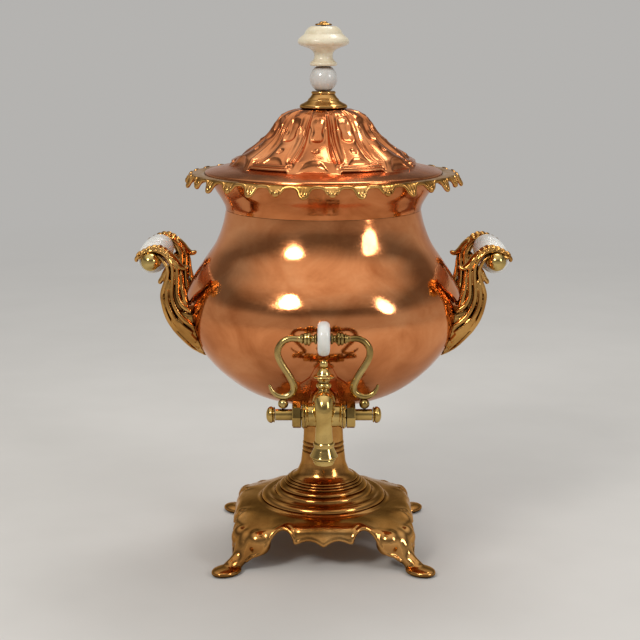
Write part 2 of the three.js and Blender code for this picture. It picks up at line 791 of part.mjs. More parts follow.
const hoodShares = [[1, 0], [1, 0.72], [0.84, 0.84], [0.55, 0.93], [0.45, 1]];

function tapBody() {
  const wallY = tapReach - radiusAt(bowlLine, tapZ);
  const collarY = wallY - escutcheonBossReach - seatGap - shankCollarThickness;
  const shankEnd = tapReach - wedgeFace + seatGap + backNutThickness + shankTail;
  const barrel = solid(alongX(rod(barrelRadius, -barrelHalfLength, barrelHalfLength, turnedSegments)));
  const shank = solid(alongY(rod(shankRadius, 0, shankEnd)));
  const collar = solid(alongY(rod(shankCollarRadius, collarY, collarY + shankCollarThickness)));
  const hoodLine = placed(hoodShares, 0, hoodRadius, 0, hoodHeight);
  const hoodEnds = [new THREE.Vector2(0, 0), new THREE.Vector2(0, hoodHeight)];
  const hood = turnedSolid([hoodEnds[0], ...hoodLine, hoodEnds[1]], smallSegments);
  const spout = solid(bar(spoutLine(0), spoutRadius, [1, 1], 12));
  const plugBore = solid(alongX(rod(plugRadius + runningGap, -cutOverrun - barrelHalfLength,
    barrelHalfLength + cutOverrun, turnedSegments)));
  const inlet = solid(alongY(rod(portRadius, 0, shankEnd + cutOverrun, boreSegments)));
  const outlet = solid(bar(spoutLine(cutOverrun), portRadius, [1, 1], 12));
  return cut(join(barrel, shank, collar, hood, spout), plugBore, inlet, outlet);
}

const nozzleShares = [
  [0.79, 0], [0.79, 0.42], [0.98, 0.46], [1, 0.53], [0.8, 0.68], [0.78, 0.8], [0.84, 0.86], [0.84, 1],
];

function nozzle() {
  const [low, high] = [-spoutDrop - nozzleDrop, nozzleGrip - spoutDrop];
  const outline = placed(nozzleShares, 0, nozzleRadius, low, high);
  const ends = [new THREE.Vector2(0, low), new THREE.Vector2(0, high)];
  const body = turnedSolid([ends[0], ...outline, ends[1]], smallSegments);
  const socket = solid(rod(spoutRadius + seatGap, -spoutDrop - seatGap, high + cutOverrun));
  const lip = nozzleRadius * nozzleShares[0][0] - nozzleWall;
  return cut(body, socket, solid(rod(lip, low - cutOverrun, cutOverrun - spoutDrop)));
}

const tapFinialShares = [
  [0.49, 0], [0.62, 0.07], [0.71, 0.16], [0.62, 0.25], [0.45, 0.31], [0.5, 0.37], [1, 0.42], [1, 0.47],
  [0.78, 0.54], [0.5, 0.66], [0.34, 0.74], [0.4, 0.8], [0.43, 0.88], [0.3, 0.97], [0, 1],
];

function tapFinial() {
  const base = hoodHeight + seatGap;
  const outline = placed(tapFinialShares, 0, tapFinialRadius, base, base + tapFinialHeight);
  return turned([new THREE.Vector2(0, base), ...outline], smallSegments);
}

// Outline of the escutcheon seen from the front: shares of its half width, and of its rise above the plug
const escutcheonShares = [[0.92, -0.4], [1, 0.1], [0.9, 0.38], [0.5, 0.62], [0.32, 0.9], [0.18, 1]];

function escutcheon() {
  const outline = new THREE.Shape();
  const side = escutcheonShares.map(([across, up]) => [across * escutcheonHalfWidth, up * escutcheonTop]);
  outline.moveTo(0, -escutcheonBottom - escutcheonThickness);
  side.forEach(([x, z]) => outline.lineTo(x, Math.max(z, -escutcheonBottom)));
  side.reverse().forEach(([x, z]) => outline.lineTo(-x, Math.max(z, -escutcheonBottom)));
  const prism = forTap(new THREE.ExtrudeGeometry(outline, { depth: bowlRadius, bevelEnabled: false }));
  const plate = bowlBody(seatGap + escutcheonThickness).intersect(prism);
  const wallY = radiusAt(bowlLine, tapZ);
  const boss = forTap(rod(escutcheonBossRadius, 0, wallY + escutcheonBossReach));
  return cut(join(plate, boss), bowlBody(seatGap), shankHole());
}

// The wedge that squares the slanted wall to the back nut, inside the bowl
function backWedge() {
  const round = forTap(rod(wedgeRadius, wedgeFace, bowlRadius));
  return cut(round.intersect(bowlBody(-bowlWall - seatGap)), shankHole());
}

function backNut() {
  const front = wedgeFace - seatGap;
  const nut = hexNut(backNutRadius, shankRadius + seatGap, front - backNutThickness, front, smallSegments);
  return nut.rotate([90, 0, 0]).translate([0, 0, tapZ]);
}

function tapFittings() {
  const group = new THREE.Group();
  node(group, 'tap_escutcheon', escutcheon(), copper);
  node(group, 'tap_back_wedge', backWedge(), brass);
  node(group, 'tap_back_nut', backNut(), brass);
  return group;
}

function glandNut(start, side) {
  const body = solid(rod(glandRadius, start, start + glandLength, glandFlats));
  const hole = bore(spindleRadius + runningGap, start, start + glandLength, turnedSegments);
  return cut(body, hole).rotate([0, side * 90, 0]);
}

function tapParts() {
  const group = new THREE.Group();
  group.position.set(0, -tapReach, tapZ);
  node(group, 'tap_body', tapBody(), tapBrass);
  node(group, 'tap_nozzle', nozzle(), tapBrass).position.y = -spoutReach;
  node(group, 'tap_finial', tapFinial(), tapBrass);
  const hole = spindleRadius + runningGap;
  const washerEnd = barrelHalfLength + seatGap + tapWasherThickness;
  const glandStart = washerEnd + seatGap;
  for (const [name, side] of [['left', -1], ['right', 1]]) {
    const washer = ring(tapWasherRadius, hole, barrelHalfLength + seatGap, washerEnd);
    node(group, `tap_washer_${name}`, alongX(washer, side), tapBrass);
    node(group, `gland_nut_${name}`, glandNut(glandStart, side), tapBrass);
  }
  return group;
}

// Lever. Its group turns about the middle of the plug.

const loopHeight = spindleRadius + seatGap + 2 * leverBallRadius + leverRadius - leverBallBite;
const ferruleEnd = discThickness / 2 + seatGap + ferruleLength;

// Lever arm: shares of the half span, and of the height between the loop and the crossbar
const leverShares = [
  [0.674, 0.975], [0.824, 0.866], [0.838, 0.733], [0.779, 0.601], [0.66, 0.437], [0.567, 0.289],
  [0.545, 0.169], [0.6, 0.06], [0.745, 0], [0.89, 0.06], [1, 0.175],
];
const leverTaperShares = [1, 1, 1, 1, 1, 1, 1, 1, 0.95, 0.85, 0.5];
const loopShare = 0.745;

function leverBall(radius) {
  return new THREE.SphereGeometry(radius, smallSegments, boreSegments).rotateX(Math.PI / 2);
}

function leverBallPlace(side) {
  return [side * loopShare * leverHalfSpan, spindleRadius + seatGap + leverBallRadius];
}

function leverArm(side) {
  const rest = leverShares.map(([across, up]) => new THREE.Vector3(
    side * across * leverHalfSpan, 0, THREE.MathUtils.lerp(loopHeight, leverHeight, up)));
  const start = new THREE.Vector3(side * (ferruleEnd + seatGap), 0, leverHeight);
  const arm = solid(bar(curveThrough([start, ...rest]), leverRadius, leverTaperShares, 20));
  const [x, z] = leverBallPlace(side);
  return cut(arm, solid(leverBall(leverBallRadius + seatGap)).translate([x, 0, z]));
}

function spindle() {
  const outline = [
    [spindleRadius, -spindleHalfLength], [spindleRadius, -barrelHalfLength], [plugRadius, -barrelHalfLength],
    [plugRadius, barrelHalfLength], [spindleRadius, barrelHalfLength], [spindleRadius, spindleHalfLength],
  ];
  const line = outline.map(([radius, height]) => new THREE.Vector2(radius, height));
  const ends = [new THREE.Vector2(0, spindleHalfLength), new THREE.Vector2(0, -spindleHalfLength)];
  const body = solid(alongX(turned([...line, ...ends], turnedSegments)));
  return cut(body, bore(portRadius, -plugRadius, plugRadius));
}

const spindleKnobShares = [[0.85, 0], [1, 0.12], [0.86, 0.25], [1, 0.4], [0.95, 0.62], [0.7, 0.86], [0, 1]];
const ferruleShares = [
  [0.75, 0], [0.82, 0.1], [0.62, 0.18], [1, 0.3], [1, 0.4], [0.6, 0.52], [0.86, 0.64], [0.6, 0.76],
  [0.72, 0.88], [0.55, 1], [0, 1],
];
const discShares = [[0.72, 0], [0.92, 0.14], [1, 0.34], [1, 0.66], [0.92, 0.86], [0.72, 1]];

function ferrule(side) {
  const start = discThickness / 2 + seatGap;
  const outline = placed(ferruleShares, 0, ferruleRadius, start, ferruleEnd);
  const body = turnedSolid([new THREE.Vector2(0, start), ...outline], boreSegments);
  const socket = solid(rod(leverPinRadius + seatGap, start - cutOverrun, start + leverPinGrip, boreSegments));
  return cut(body, socket).rotate([0, side * 90, 0]).translate([0, 0, leverHeight]);
}

function leverParts() {
  const group = new THREE.Group();
  group.position.set(0, -tapReach, tapZ);
  node(group, 'tap_plug', spindle(), tapBrass);
  const half = discThickness / 2;
  const disc = beadOn(discShares, discRadius, leverPinRadius + seatGap, -half, half);
  node(group, 'lever_disc', alongX(disc), whiteCeramic).position.z = leverHeight;
  const pinHalf = half + leverPinGrip;
  const pin = alongX(rod(leverPinRadius, -pinHalf, pinHalf, boreSegments));
  node(group, 'lever_pin', pin, steel).position.z = leverHeight;
  for (const [name, side] of [['left', -1], ['right', 1]]) {
    const knobBase = spindleHalfLength + seatGap;
    const knobLine = placed(spindleKnobShares, 0, spindleKnobRadius, knobBase, knobBase + spindleKnobLength);
    const knob = turned([new THREE.Vector2(0, knobBase), ...knobLine], smallSegments);
    node(group, `spindle_knob_${name}`, alongX(knob, side), tapBrass);
    const [x, z] = leverBallPlace(side);
    node(group, `lever_ball_${name}`, leverBall(leverBallRadius), tapBrass).position.set(x, 0, z);
    node(group, `lever_arm_${name}`, leverArm(side), tapBrass);
    node(group, `lever_ferrule_${name}`, ferrule(side), tapBrass);
  }
  return group;
}

// Handles. Each is made at +X, and the left one is turned half way round the urn.

// Arm: shares of the standoff, of the arm's offset, and of the drop below or the rise above the belly
const armShares = [
  [0.05, 0.18, -1], [0.21, 0.42, -0.81], [0.37, 0.68, -0.52], [0.5, 0.9, -0.21], [0.58, 1, 0.13],
  [0.54, 1, 0.48], [0.49, 1, 0.76], [0.53, 1, 1], [0.68, 1, 1.17], [0.87, 1, 1.26], [1.08, 1, 1.25],
  [1.26, 1, 1.15], [1.36, 1, 1], [1.44, 1, 1.02],
];
const armTaperShares = [0.55, 0.85, 1.05, 1.1, 1.05, 0.95, 0.85, 0.8, 0.75, 0.7, 0.6, 0.5, 0.4, 0.2];
const innerLeafShares = [[0.56, 1, 1.02], [0.3, 1, 1], [0.14, 1, 0.86], [0.05, 1, 0.9]];
const outerLeafShares = [[0.66, 1, 0.9], [0.78, 1, 0.72], [0.86, 1, 0.54]];
const leafTaperShares = [1, 0.85, 0.6, 0.25];

function handlePoint(side, [out, across, up]) {
  const y = side * armOffset * across;
  const z = bellyZ + (up < 0 ? handleDrop : gripRise) * up;
  const bowl = up < 0 ? radiusAt(bowlLine, z) : bowlRadius;
  return new THREE.Vector3(Math.sqrt(bowl ** 2 - y ** 2) + gripStandoff * out, y, z);
}

// Lays an upright shape along the grip's axis, towards the front or the rear
function forGrip(geometry, side) {
  return solid(geometry.rotateX(side * -Math.PI / 2).translate(gripX, 0, gripZ));
}

function handleArm(side) {
  const line = (shares) => curveThrough(shares.map((share) => handlePoint(side, share)));
  const arm = solid(bar(line(armShares), armRadius, armTaperShares, 15));
  const leaves = [innerLeafShares, outerLeafShares].map((shares) =>
    solid(bar(line(shares), leafRadius, leafTaperShares, 4)));
  const [from, to] = [gripLength / 2 + seatGap, gripLength / 2 + seatGap + bossThickness];
  return join(arm, forGrip(rod(bossRadius, from, to), side), ...leaves);
}

// The fluted shell that spreads over the bowl between the feet of the two arms
function handleShell() {
  const low = bellyZ - handleDrop;
  const lean = Math.atan2(bowlRadius - radiusAt(bowlLine, low), handleDrop);
  const middle = bellyZ - handleDrop / 2;
  const shell = new THREE.SphereGeometry(1, 16, 8).rotateX(Math.PI / 2);
  shell.scale(shellThickness, shellHalfWidth, shellHalfLength);
  return solid(shell.rotateY(lean).translate(radiusAt(bowlLine, middle), 0, middle));
}

function ballNutPlace() {
  return gripLength / 2 + seatGap + bossThickness + seatGap + ballNutSet;
}

function handleCasting() {
  const casting = join(handleShell(), handleArm(-1), handleArm(1));
  const half = gripLength / 2 + seatGap;
  const gripRoom = forGrip(rod(gripRadius + seatGap, -half, half), 1);
  const ballRooms = [-1, 1].map((side) => {
    const [from, to] = [ballNutPlace() - ballNutSet - seatGap, ballNutPlace() + ballNutRadius + cutOverrun];
    return forGrip(rod(ballNutRadius + seatGap, from, to), side);
  });
  const boltHole = forGrip(rod(handleBoltRadius + seatGap, -gripLength, gripLength, boreSegments), 1);
  return cut(casting, bowlBody(seatGap), gripRoom, ...ballRooms, boltHole);
}

function grip() {
  const half = gripLength / 2;
  const outline = [];
  for (let i = 0; i < gripRings; i++) {
    const start = -half + gripLength * i / gripRings;
    const end = -half + gripLength * (i + 1) / gripRings;
    outline.push([gripRadius - gripGroove, start], [gripRadius, (start + end) / 2]);
  }
  const hole = handleBoltRadius + seatGap;
  outline.push([gripRadius - gripGroove, half], [hole, half], [hole, -half]);
  return alongY(turned(outline.map(([radius, height]) => new THREE.Vector2(radius, height)), smallSegments));
}

function ballNut(side) {
  const [flat, end] = [ballNutPlace() - ballNutSet, ballNutPlace() + ballNutRadius];
  const steps = 7;
  const start = -Math.asin(ballNutSet / ballNutRadius);
  const outline = Array.from({ length: steps }, (_, i) => {
    const angle = THREE.MathUtils.lerp(start, Math.PI / 2, i / steps);
    const height = ballNutPlace() + ballNutRadius * Math.sin(angle);
    return new THREE.Vector2(ballNutRadius * Math.cos(angle), height);
  });
  const ends = [new THREE.Vector2(0, flat), new THREE.Vector2(0, end)];
  const body = turnedSolid([ends[0], ...outline, ends[1]], smallSegments);
  const socketEnd = flat + handleBoltGrip + seatGap;
  const socket = solid(rod(handleBoltRadius + seatGap, flat - cutOverrun, socketEnd, boreSegments));
  return cut(body, socket).rotate([side * -90, 0, 0]).translate([gripX, 0, gripZ]);
}

function handleParts(name, turn) {
  const group = new THREE.Group();
  group.rotation.z = turn;
  const boltHalf = ballNutPlace() - ballNutSet + handleBoltGrip;
  const bolt = alongY(rod(handleBoltRadius, -boltHalf, boltHalf, boreSegments));
  node(group, `handle_casting_${name}`, handleCasting(), darkBrass);
  node(group, `handle_grip_${name}`, grip(), whiteCeramic).position.set(gripX, 0, gripZ);
  node(group, `handle_bolt_${name}`, bolt, steel).position.set(gripX, 0, gripZ);
  node(group, `ball_nut_${name}_front`, ballNut(turn ? 1 : -1), brass);
  node(group, `ball_nut_${name}_rear`, ballNut(turn ? -1 : 1), brass);
  return group;
}

samovar.add(baseParts(), urnParts(), lidParts(), heaterParts(), tapFittings(), tapParts(), leverParts());
samovar.add(handleParts('left', Math.PI), handleParts('right', 0));

// The front of everything is the nozzle, the back is the bowl or the rim
samovar.position.y = (tapReach + spoutReach + nozzleRadius - Math.max(bowlRadius, rimRadius)) / 2;

export default samovar;
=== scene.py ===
import math

import bmesh
import bpy
import numpy as np
from mathutils import Matrix, Vector, noise


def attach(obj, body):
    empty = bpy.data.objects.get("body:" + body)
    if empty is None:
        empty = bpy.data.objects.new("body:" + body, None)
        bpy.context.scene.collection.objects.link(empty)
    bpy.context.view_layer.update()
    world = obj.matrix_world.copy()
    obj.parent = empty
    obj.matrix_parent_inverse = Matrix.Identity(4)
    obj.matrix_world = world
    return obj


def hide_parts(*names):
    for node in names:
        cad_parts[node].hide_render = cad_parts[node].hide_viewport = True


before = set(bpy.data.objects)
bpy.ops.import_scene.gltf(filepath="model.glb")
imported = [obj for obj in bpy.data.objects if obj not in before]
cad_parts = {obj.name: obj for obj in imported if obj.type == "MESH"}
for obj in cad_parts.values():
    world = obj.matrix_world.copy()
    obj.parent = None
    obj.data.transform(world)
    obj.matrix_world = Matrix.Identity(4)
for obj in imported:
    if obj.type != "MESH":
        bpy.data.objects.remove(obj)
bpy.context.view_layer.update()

# Lengths below are in millimetres, measured from the urn's upright axis and from the table.
# The axis stands at this Y of the shared frame.
AXIS_Y = 29.45
MM = 0.001


# Curves

def spline(points, steps=6):
    """A smooth line through the points, with the given number of steps in each span."""
    p = np.array(points, float)
    if len(p) < 3:
        return p
    p = np.vstack([2 * p[0] - p[1], p, 2 * p[-1] - p[-2]])
    out = []
    for i in range(1, len(p) - 2):
        a, b, c, d = p[i - 1], p[i], p[i + 1], p[i + 2]
        ta = 0.0
        tb = ta + max(np.linalg.norm(b - a), 1e-9) ** 0.5
        tc = tb + max(np.linalg.norm(c - b), 1e-9) ** 0.5
        td = tc + max(np.linalg.norm(d - c), 1e-9) ** 0.5
        for k in range(steps):
            t = tb + (tc - tb) * k / steps
            ab = (tb - t) / (tb - ta) * a + (t - ta) / (tb - ta) * b
            bc = (tc - t) / (tc - tb) * b + (t - tb) / (tc - tb) * c
            cd = (td - t) / (td - tc) * c + (t - tc) / (td - tc) * d
            abc = (tc - t) / (tc - ta) * ab + (t - ta) / (tc - ta) * bc
            bcd = (td - t) / (td - tb) * bc + (t - tb) / (td - tb) * cd
            out.append((tc - t) / (tc - tb) * abc + (t - tb) / (tc - tb) * bcd)
    out.append(p[-2])
    return np.array(out)


def outline(*runs, steps=5):
    """One outline from runs that are each smooth. Each goes on from the corner where the one before it ends."""
    line = [np.array(runs[0][0], float)]
    corner = []
    for run in runs:
        for point in spline(corner + run, steps):
            if np.linalg.norm(point - line[-1]) > 1e-6:
                line.append(point)
        corner = run[-1:]
    return np.array(line)


def resampled(path, count):
    """The path cut into equal steps."""
    path = np.array(path, float)
    along = np.concatenate([[0], np.cumsum(np.linalg.norm(np.diff(path, axis=0), axis=1))])
    at = np.linspace(0, along[-1], count)
    return np.stack([np.interp(at, along, path[:, k]) for k in range(path.shape[1])], axis=1)


def directions(path, closed=False):
    """Unit tangents along a path."""
    if closed:
        tangent = np.roll(path, -1, axis=0) - np.roll(path, 1, axis=0)
    else:
        tangent = np.gradient(path, axis=0)
    return tangent / np.linalg.norm(tangent, axis=1)[:, None]


def spread(values, count):
    """Values spread evenly over a number of points."""
    return np.interp(np.linspace(0, len(values) - 1, count), range(len(values)), values)


def smoothstep(low, high, x):
    t = np.clip((x - low) / (high - low), 0, 1)
    return t * t * (3 - 2 * t)


# Shapes as (points, faces)

def grid(points, rows, columns, closed=True):
    """Faces of a grid of rows by columns, whose rows close on themselves."""
    faces = []
    last = columns if closed else columns - 1
    for i in range(rows - 1):
        for j in range(last):
            k = (j + 1) % columns
            faces.append((i * columns + j, i * columns + k, (i + 1) * columns + k, (i + 1) * columns + j))
    return np.array(points, float).reshape(-1, 3), faces


def lathe(line, segments=96, shape=None):
    """Turns an outline of (radius, height) about +Z. It is a closed ring, or it begins and ends on the axis."""
    line = np.array(line, float)
    on_axis = line[0][0] < 1e-6 and line[-1][0] < 1e-6
    if not on_axis:
        line = np.vstack([line, line[:1]])
    angle = np.linspace(0, 2 * math.pi, segments, endpoint=False)
    radius = line[:, 0][:, None] * np.ones_like(angle)[None, :]
    height = line[:, 1][:, None] * np.ones_like(angle)[None, :]
    if shape is not None:
        radius, height = shape(radius, height, angle[None, :])
    points = np.stack([radius * np.sin(angle), -radius * np.cos(angle), height], axis=2)
    return grid(points, len(line), segments)


def capped(rings):
    """A bar through rings of points, closed at both ends."""
    rings = np.array(rings)
    count, sides = rings.shape[:2]
    points, faces = grid(rings, count, sides)
    faces.append(tuple(range(sides))[::-1])
    faces.append(tuple((count - 1) * sides + j for j in range(sides)))
    return points, faces


def tube(path, radius, sides=20, flat=1.0, normal=None, closed=False):
    """A bar along a path. Flat is the section's thickness along the normal, as a share of its width."""
    path = np.array(path, float)
    count = len(path)
    radius = np.broadcast_to(np.array(radius, float), (count,)) if np.ndim(radius) else np.full(count, radius)
    tangent = directions(path, closed)
    side = np.array(normal if normal is not None else (0.31, 0.17, 0.93), float)
    rings = []
    for i in range(count):
        side = side - tangent[i] * side.dot(tangent[i])
        side /= np.linalg.norm(side)
        other = np.cross(tangent[i], side)
        angle = np.linspace(0, 2 * math.pi, sides, endpoint=False)
        ring = path[i] + radius[i] * (np.cos(angle)[:, None] * side * flat + np.sin(angle)[:, None] * other)
        rings.append(ring)
        if normal is not None:
            side = np.array(normal, float)
    if closed:
        return grid(np.array(rings + rings[:1]), count + 1, sides)
    return capped(rings)


def tapered(path, stops, radii, sides, **section):
    """A bar whose radius is given at some shares of its path."""
    return tube(path, np.interp(np.linspace(0, 1, len(path)), stops, radii), sides, **section)


def ball(centre, radii, rows=20, columns=32, turn=None):
    """An ellipsoid, turned by a rotation matrix if one is given."""
    angle = np.linspace(-math.pi / 2, math.pi / 2, rows)
    line = np.stack([np.cos(angle), np.sin(angle)], axis=1)
    line[0][0] = line[-1][0] = 0
    points, faces = lathe(line, columns)
    points = points * np.array(radii, float)
    if turn is not None:
        points = points @ np.array(turn).T
    return points + np.array(centre, float), faces


def moved(shape, by):
    return shape[0] + np.array(by, float), shape[1]


def laid(shape, axis, at=(0, 0, 0)):
    """Lays a shape made about +Z along another axis, and moves it."""
    p = shape[0]
    turns = {
        "+X": np.stack([p[:, 2], p[:, 1], -p[:, 0]], axis=1),
        "-X": np.stack([-p[:, 2], p[:, 1], p[:, 0]], axis=1),
        "+Y": np.stack([p[:, 0], p[:, 2], -p[:, 1]], axis=1),
        "-Y": np.stack([p[:, 0], -p[:, 2], p[:, 1]], axis=1),
    }
    return turns[axis] + np.array(at, float), shape[1]


def half_turn(shape):
    """Turns a shape half way round the urn's axis."""
    return shape[0] * np.array([-1, -1, 1]), shape[1]


def turned_by(shape, degrees):
    c, s = math.cos(math.radians(degrees)), math.sin(math.radians(degrees))
    return shape[0] @ np.array([[c, s, 0], [-s, c, 0], [0, 0, 1]]), shape[1]


def joined(*shapes):
    points, faces, start = [], [], 0
    for p, f in shapes:
        points.append(p)
        faces += [tuple(k + start for k in face) for face in f]
        start += len(p)
    return np.vstack(points), faces


# Objects

def mesh_of(name, shape):
    points, faces = shape
    mesh = bpy.data.meshes.new(name)
    mesh.from_pydata([tuple(p) for p in points], [], [tuple(int(k) for k in f) for f in faces])
    bm = bmesh.new()
    bm.from_mesh(mesh)
    bmesh.ops.remove_doubles(bm, verts=bm.verts, dist=1e-4)
    bmesh.ops.dissolve_degenerate(bm, edges=bm.edges, dist=1e-5)
    bmesh.ops.recalc_face_normals(bm, faces=bm.faces)
    bm.to_mesh(mesh)
    bm.free()
    return mesh


def settle(obj):
    """Applies an object's modifiers to its mesh."""
    graph = bpy.context.evaluated_depsgraph_get()
    mesh = bpy.data.meshes.new_from_object(obj.evaluated_get(graph))
    obj.modifiers.clear()
    obj.data = mesh
    return obj


def fused(name, shapes, voxel, smooth=3, factor=0.5):
    """Melts overlapping closed shapes into one casting, in millimetres."""
    obj = bpy.data.objects.new(name, mesh_of(name, joined(*shapes)))
    bpy.context.scene.collection.objects.link(obj)
    remesh = obj.modifiers.new("melt", "REMESH")
    remesh.mode = "VOXEL"
    remesh.voxel_size = voxel
    relax = obj.modifiers.new("relax", "SMOOTH")
    relax.factor = factor
    relax.iterations = smooth
    return settle(obj)


def taken(obj):
    """The points and faces of an object that isn't needed any more."""
    points = np.array([v.co for v in obj.data.vertices])
    faces = [tuple(p.vertices) for p in obj.data.polygons]
    bpy.data.objects.remove(obj)
    return points, faces


def relaxed(obj, weight, rounds):
    """Evens out a melted casting by a weight for each of its points."""
    mesh = obj.data
    count = len(mesh.vertices)
    co = np.zeros(count * 3)
    mesh.vertices.foreach_get("co", co)
    co = co.reshape(-1, 3)
    pairs = np.zeros(len(mesh.edges) * 2, np.int32)
    mesh.edges.foreach_get("vertices", pairs)
    a, b = pairs[0::2], pairs[1::2]
    links = (np.bincount(a, minlength=count) + np.bincount(b, minlength=count))[:, None]
    share = 0.5 * weight(co)[:, None]
    for _ in range(rounds):
        total = np.stack([np.bincount(a, co[b, k], count) + np.bincount(b, co[a, k], count)
                          for k in range(3)], axis=1)
        co += (total / links - co) * share
    mesh.vertices.foreach_set("co", co.ravel())
    mesh.update()
    return obj


def piece(name, shape, finish, nodes, body="root", sharp=35):
    """One piece of the object: a shape or a melted object in millimetres, finished and tied to the frame."""
    if isinstance(shape, tuple):
        obj = bpy.data.objects.new(name, mesh_of(name, shape))
        bpy.context.scene.collection.objects.link(obj)
    else:
        obj = shape
        obj.name = name
    mesh = obj.data
    co = np.zeros(len(mesh.vertices) * 3, np.float32)
    mesh.vertices.foreach_get("co", co)
    co = (co.reshape(-1, 3) + np.array([0, AXIS_Y, 0], np.float32)) * MM
    mesh.vertices.foreach_set("co", co.ravel())
    mesh.polygons.foreach_set("use_smooth", [True] * len(mesh.polygons))
    if sharp:
        mesh.set_sharp_from_angle(angle=math.radians(sharp))
    mesh.materials.clear()
    mesh.materials.append(finish)
    mesh.update()
    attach(obj, body)
    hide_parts(*nodes)


# Finishes

class Nodes:
    """Short calls for building a material's node tree."""

    def __init__(self, name):
        self.material = bpy.data.materials.new(name)
        self.material.use_nodes = True
        self.tree = self.material.node_tree
        self.shader = next(n for n in self.tree.nodes if n.type == "BSDF_PRINCIPLED")
        self.place = self.tree.nodes.new("ShaderNodeTexCoord").outputs["Object"]

    def link(self, a, b):
        self.tree.links.new(a, b)

    def noise(self, scale, detail=4.0, rough=0.55, stretch=None, distortion=0.0):
        node = self.tree.nodes.new("ShaderNodeTexNoise")
        node.inputs["Scale"].default_value = scale
        node.inputs["Detail"].default_value = detail
        node.inputs["Roughness"].default_value = rough
        node.inputs["Distortion"].default_value = distortion
        place = self.place
        if stretch:
            mapping = self.tree.nodes.new("ShaderNodeMapping")
            mapping.inputs["Scale"].default_value = stretch
            self.link(self.place, mapping.inputs["Vector"])
            place = mapping.outputs["Vector"]
        self.link(place, node.inputs["Vector"])
        return node.outputs["Fac"]

    def ramp(self, value, stops):
        node = self.tree.nodes.new("ShaderNodeValToRGB")
        elements = node.color_ramp.elements
        while len(elements) < len(stops):
            elements.new(0.5)
        for element, (position, colour) in zip(elements, stops):
            element.position = position
            element.color = (*colour, 1)
        self.link(value, node.inputs["Fac"])
        return node.outputs["Color"]

    def span(self, value, low, high, to_low, to_high):
        node = self.tree.nodes.new("ShaderNodeMapRange")
        for key, number in zip(("From Min", "From Max", "To Min", "To Max"), (low, high, to_low, to_high)):
            node.inputs[key].default_value = number
        self.link(value, node.inputs["Value"])
        return node.outputs["Result"]

    def mix(self, amount, a, b):
        node = self.tree.nodes.new("ShaderNodeMix")
        node.data_type = "RGBA"
        self.link(amount, node.inputs[0])
        for source, socket in ((a, 6), (b, 7)):
            if hasattr(source, "is_output"):
                self.link(source, node.inputs[socket])
            else:
                node.inputs[socket].default_value = (*source, 1)
        return node.outputs[2]

    def math(self, kind, a, b):
        node = self.tree.nodes.new("ShaderNodeMath")
        node.operation = kind
        for k, source in enumerate((a, b)):
            if hasattr(source, "is_output"):
                self.link(source, node.inputs[k])
            else:
                node.inputs[k].default_value = source
        return node.outputs[0]

    def hollow(self, distance):
        """1 in the open and towards 0 in recesses."""
        node = self.tree.nodes.new("ShaderNodeAmbientOcclusion")
        node.samples = 8
        node.inputs["Distance"].default_value = distance
        return node.outputs["AO"]

    def bump(self, height, strength, distance, before=None):
        node = self.tree.nodes.new("ShaderNodeBump")
        node.inputs["Strength"].default_value = strength
        node.inputs["Distance"].default_value = distance
        self.link(height, node.inputs["Height"])
        if before is not None:
            self.link(before, node.inputs["Normal"])
        return node.outputs["Normal"]

    def finish(self, colour, roughness, normal, slot, metallic, tint=(1, 1, 1)):
        self.link(colour, self.shader.inputs["Base Color"])
        self.link(roughness, self.shader.inputs["Roughness"])
        if normal is not None:
            self.link(normal, self.shader.inputs["Normal"])
        self.shader.inputs["Metallic"].default_value = metallic
        if metallic:
            self.shader.inputs["Specular Tint"].default_value = (*tint, 1)
        self.material["slot"] = slot
        return self.material


def srgb(r, g, b):
    """A display colour, 0 to 255, as the linear one that shaders take."""
    def one(v):
        v = v / 255
        return v / 12.92 if v <= 0.04045 else ((v + 0.055) / 1.055) ** 2.4
    return one(r), one(g), one(b)


def metal(name, slot, light, mid, dark, recess, rough=(0.14, 0.3), patina=22.0, depth=0.006, dents=0.25, edge=0.8,
          under=None):
    """Polished metal with a drifting tone, smudges, hairlines, soft dents, and tarnish and painted shade in its
    recesses.

    Colours are display colours. Under gives two heights in metres and the tone that the lower one has, a painted dark
    reflection on the lower part.
    """
    light, mid, dark, recess = (srgb(*tone) for tone in (light, mid, dark, recess))
    n = Nodes(name)
    drift = n.noise(patina, 5.0, 0.6, distortion=0.6)
    tone = n.ramp(drift, [(0.3, dark), (0.5, mid), (0.7, light)])
    spots = n.span(n.noise(260.0, 3.0), 0.58, 0.72, 0.0, 0.35)
    tone = n.mix(spots, tone, mid)
    # Below the two heights the tone turns darker and browner: a painted dark reflection on the underside.
    if under:
        low, high, painted_dark_reflection = under
        split = n.tree.nodes.new("ShaderNodeSeparateXYZ")
        n.link(n.place, split.inputs[0])
        height = n.math("ADD", split.outputs["Z"], n.span(drift, 0.3, 0.7, -0.008, 0.008))
        tone = n.mix(n.span(height, low, high, 0.0, 1.0), srgb(*painted_dark_reflection), tone)
    # Recesses darken towards the recess tone by ambient occlusion: tarnish, and painted shade.
    if depth:
        open_air = n.span(n.hollow(depth), 0.25, 0.85, 0.0, 1.0)
        tone = n.mix(open_air, recess, tone)
    smudge = n.span(n.noise(48.0, 6.0, 0.65), 0.35, 0.7, rough[0], rough[1])
    hair = n.noise(160.0, 2.0, stretch=(1.0, 1.0, 9.0))
    rough_out = n.math("ADD", smudge, n.span(hair, 0.45, 0.75, 0.0, 0.06))
    normal = n.bump(n.noise(18.0, 1.0), dents, 0.004)
    normal = n.bump(n.noise(420.0, 2.0), 0.05, 0.0006, normal)
    return n.finish(tone, rough_out, normal, slot, 1.0, tint=tuple(1 - edge + edge * v ** 0.5 for v in light))


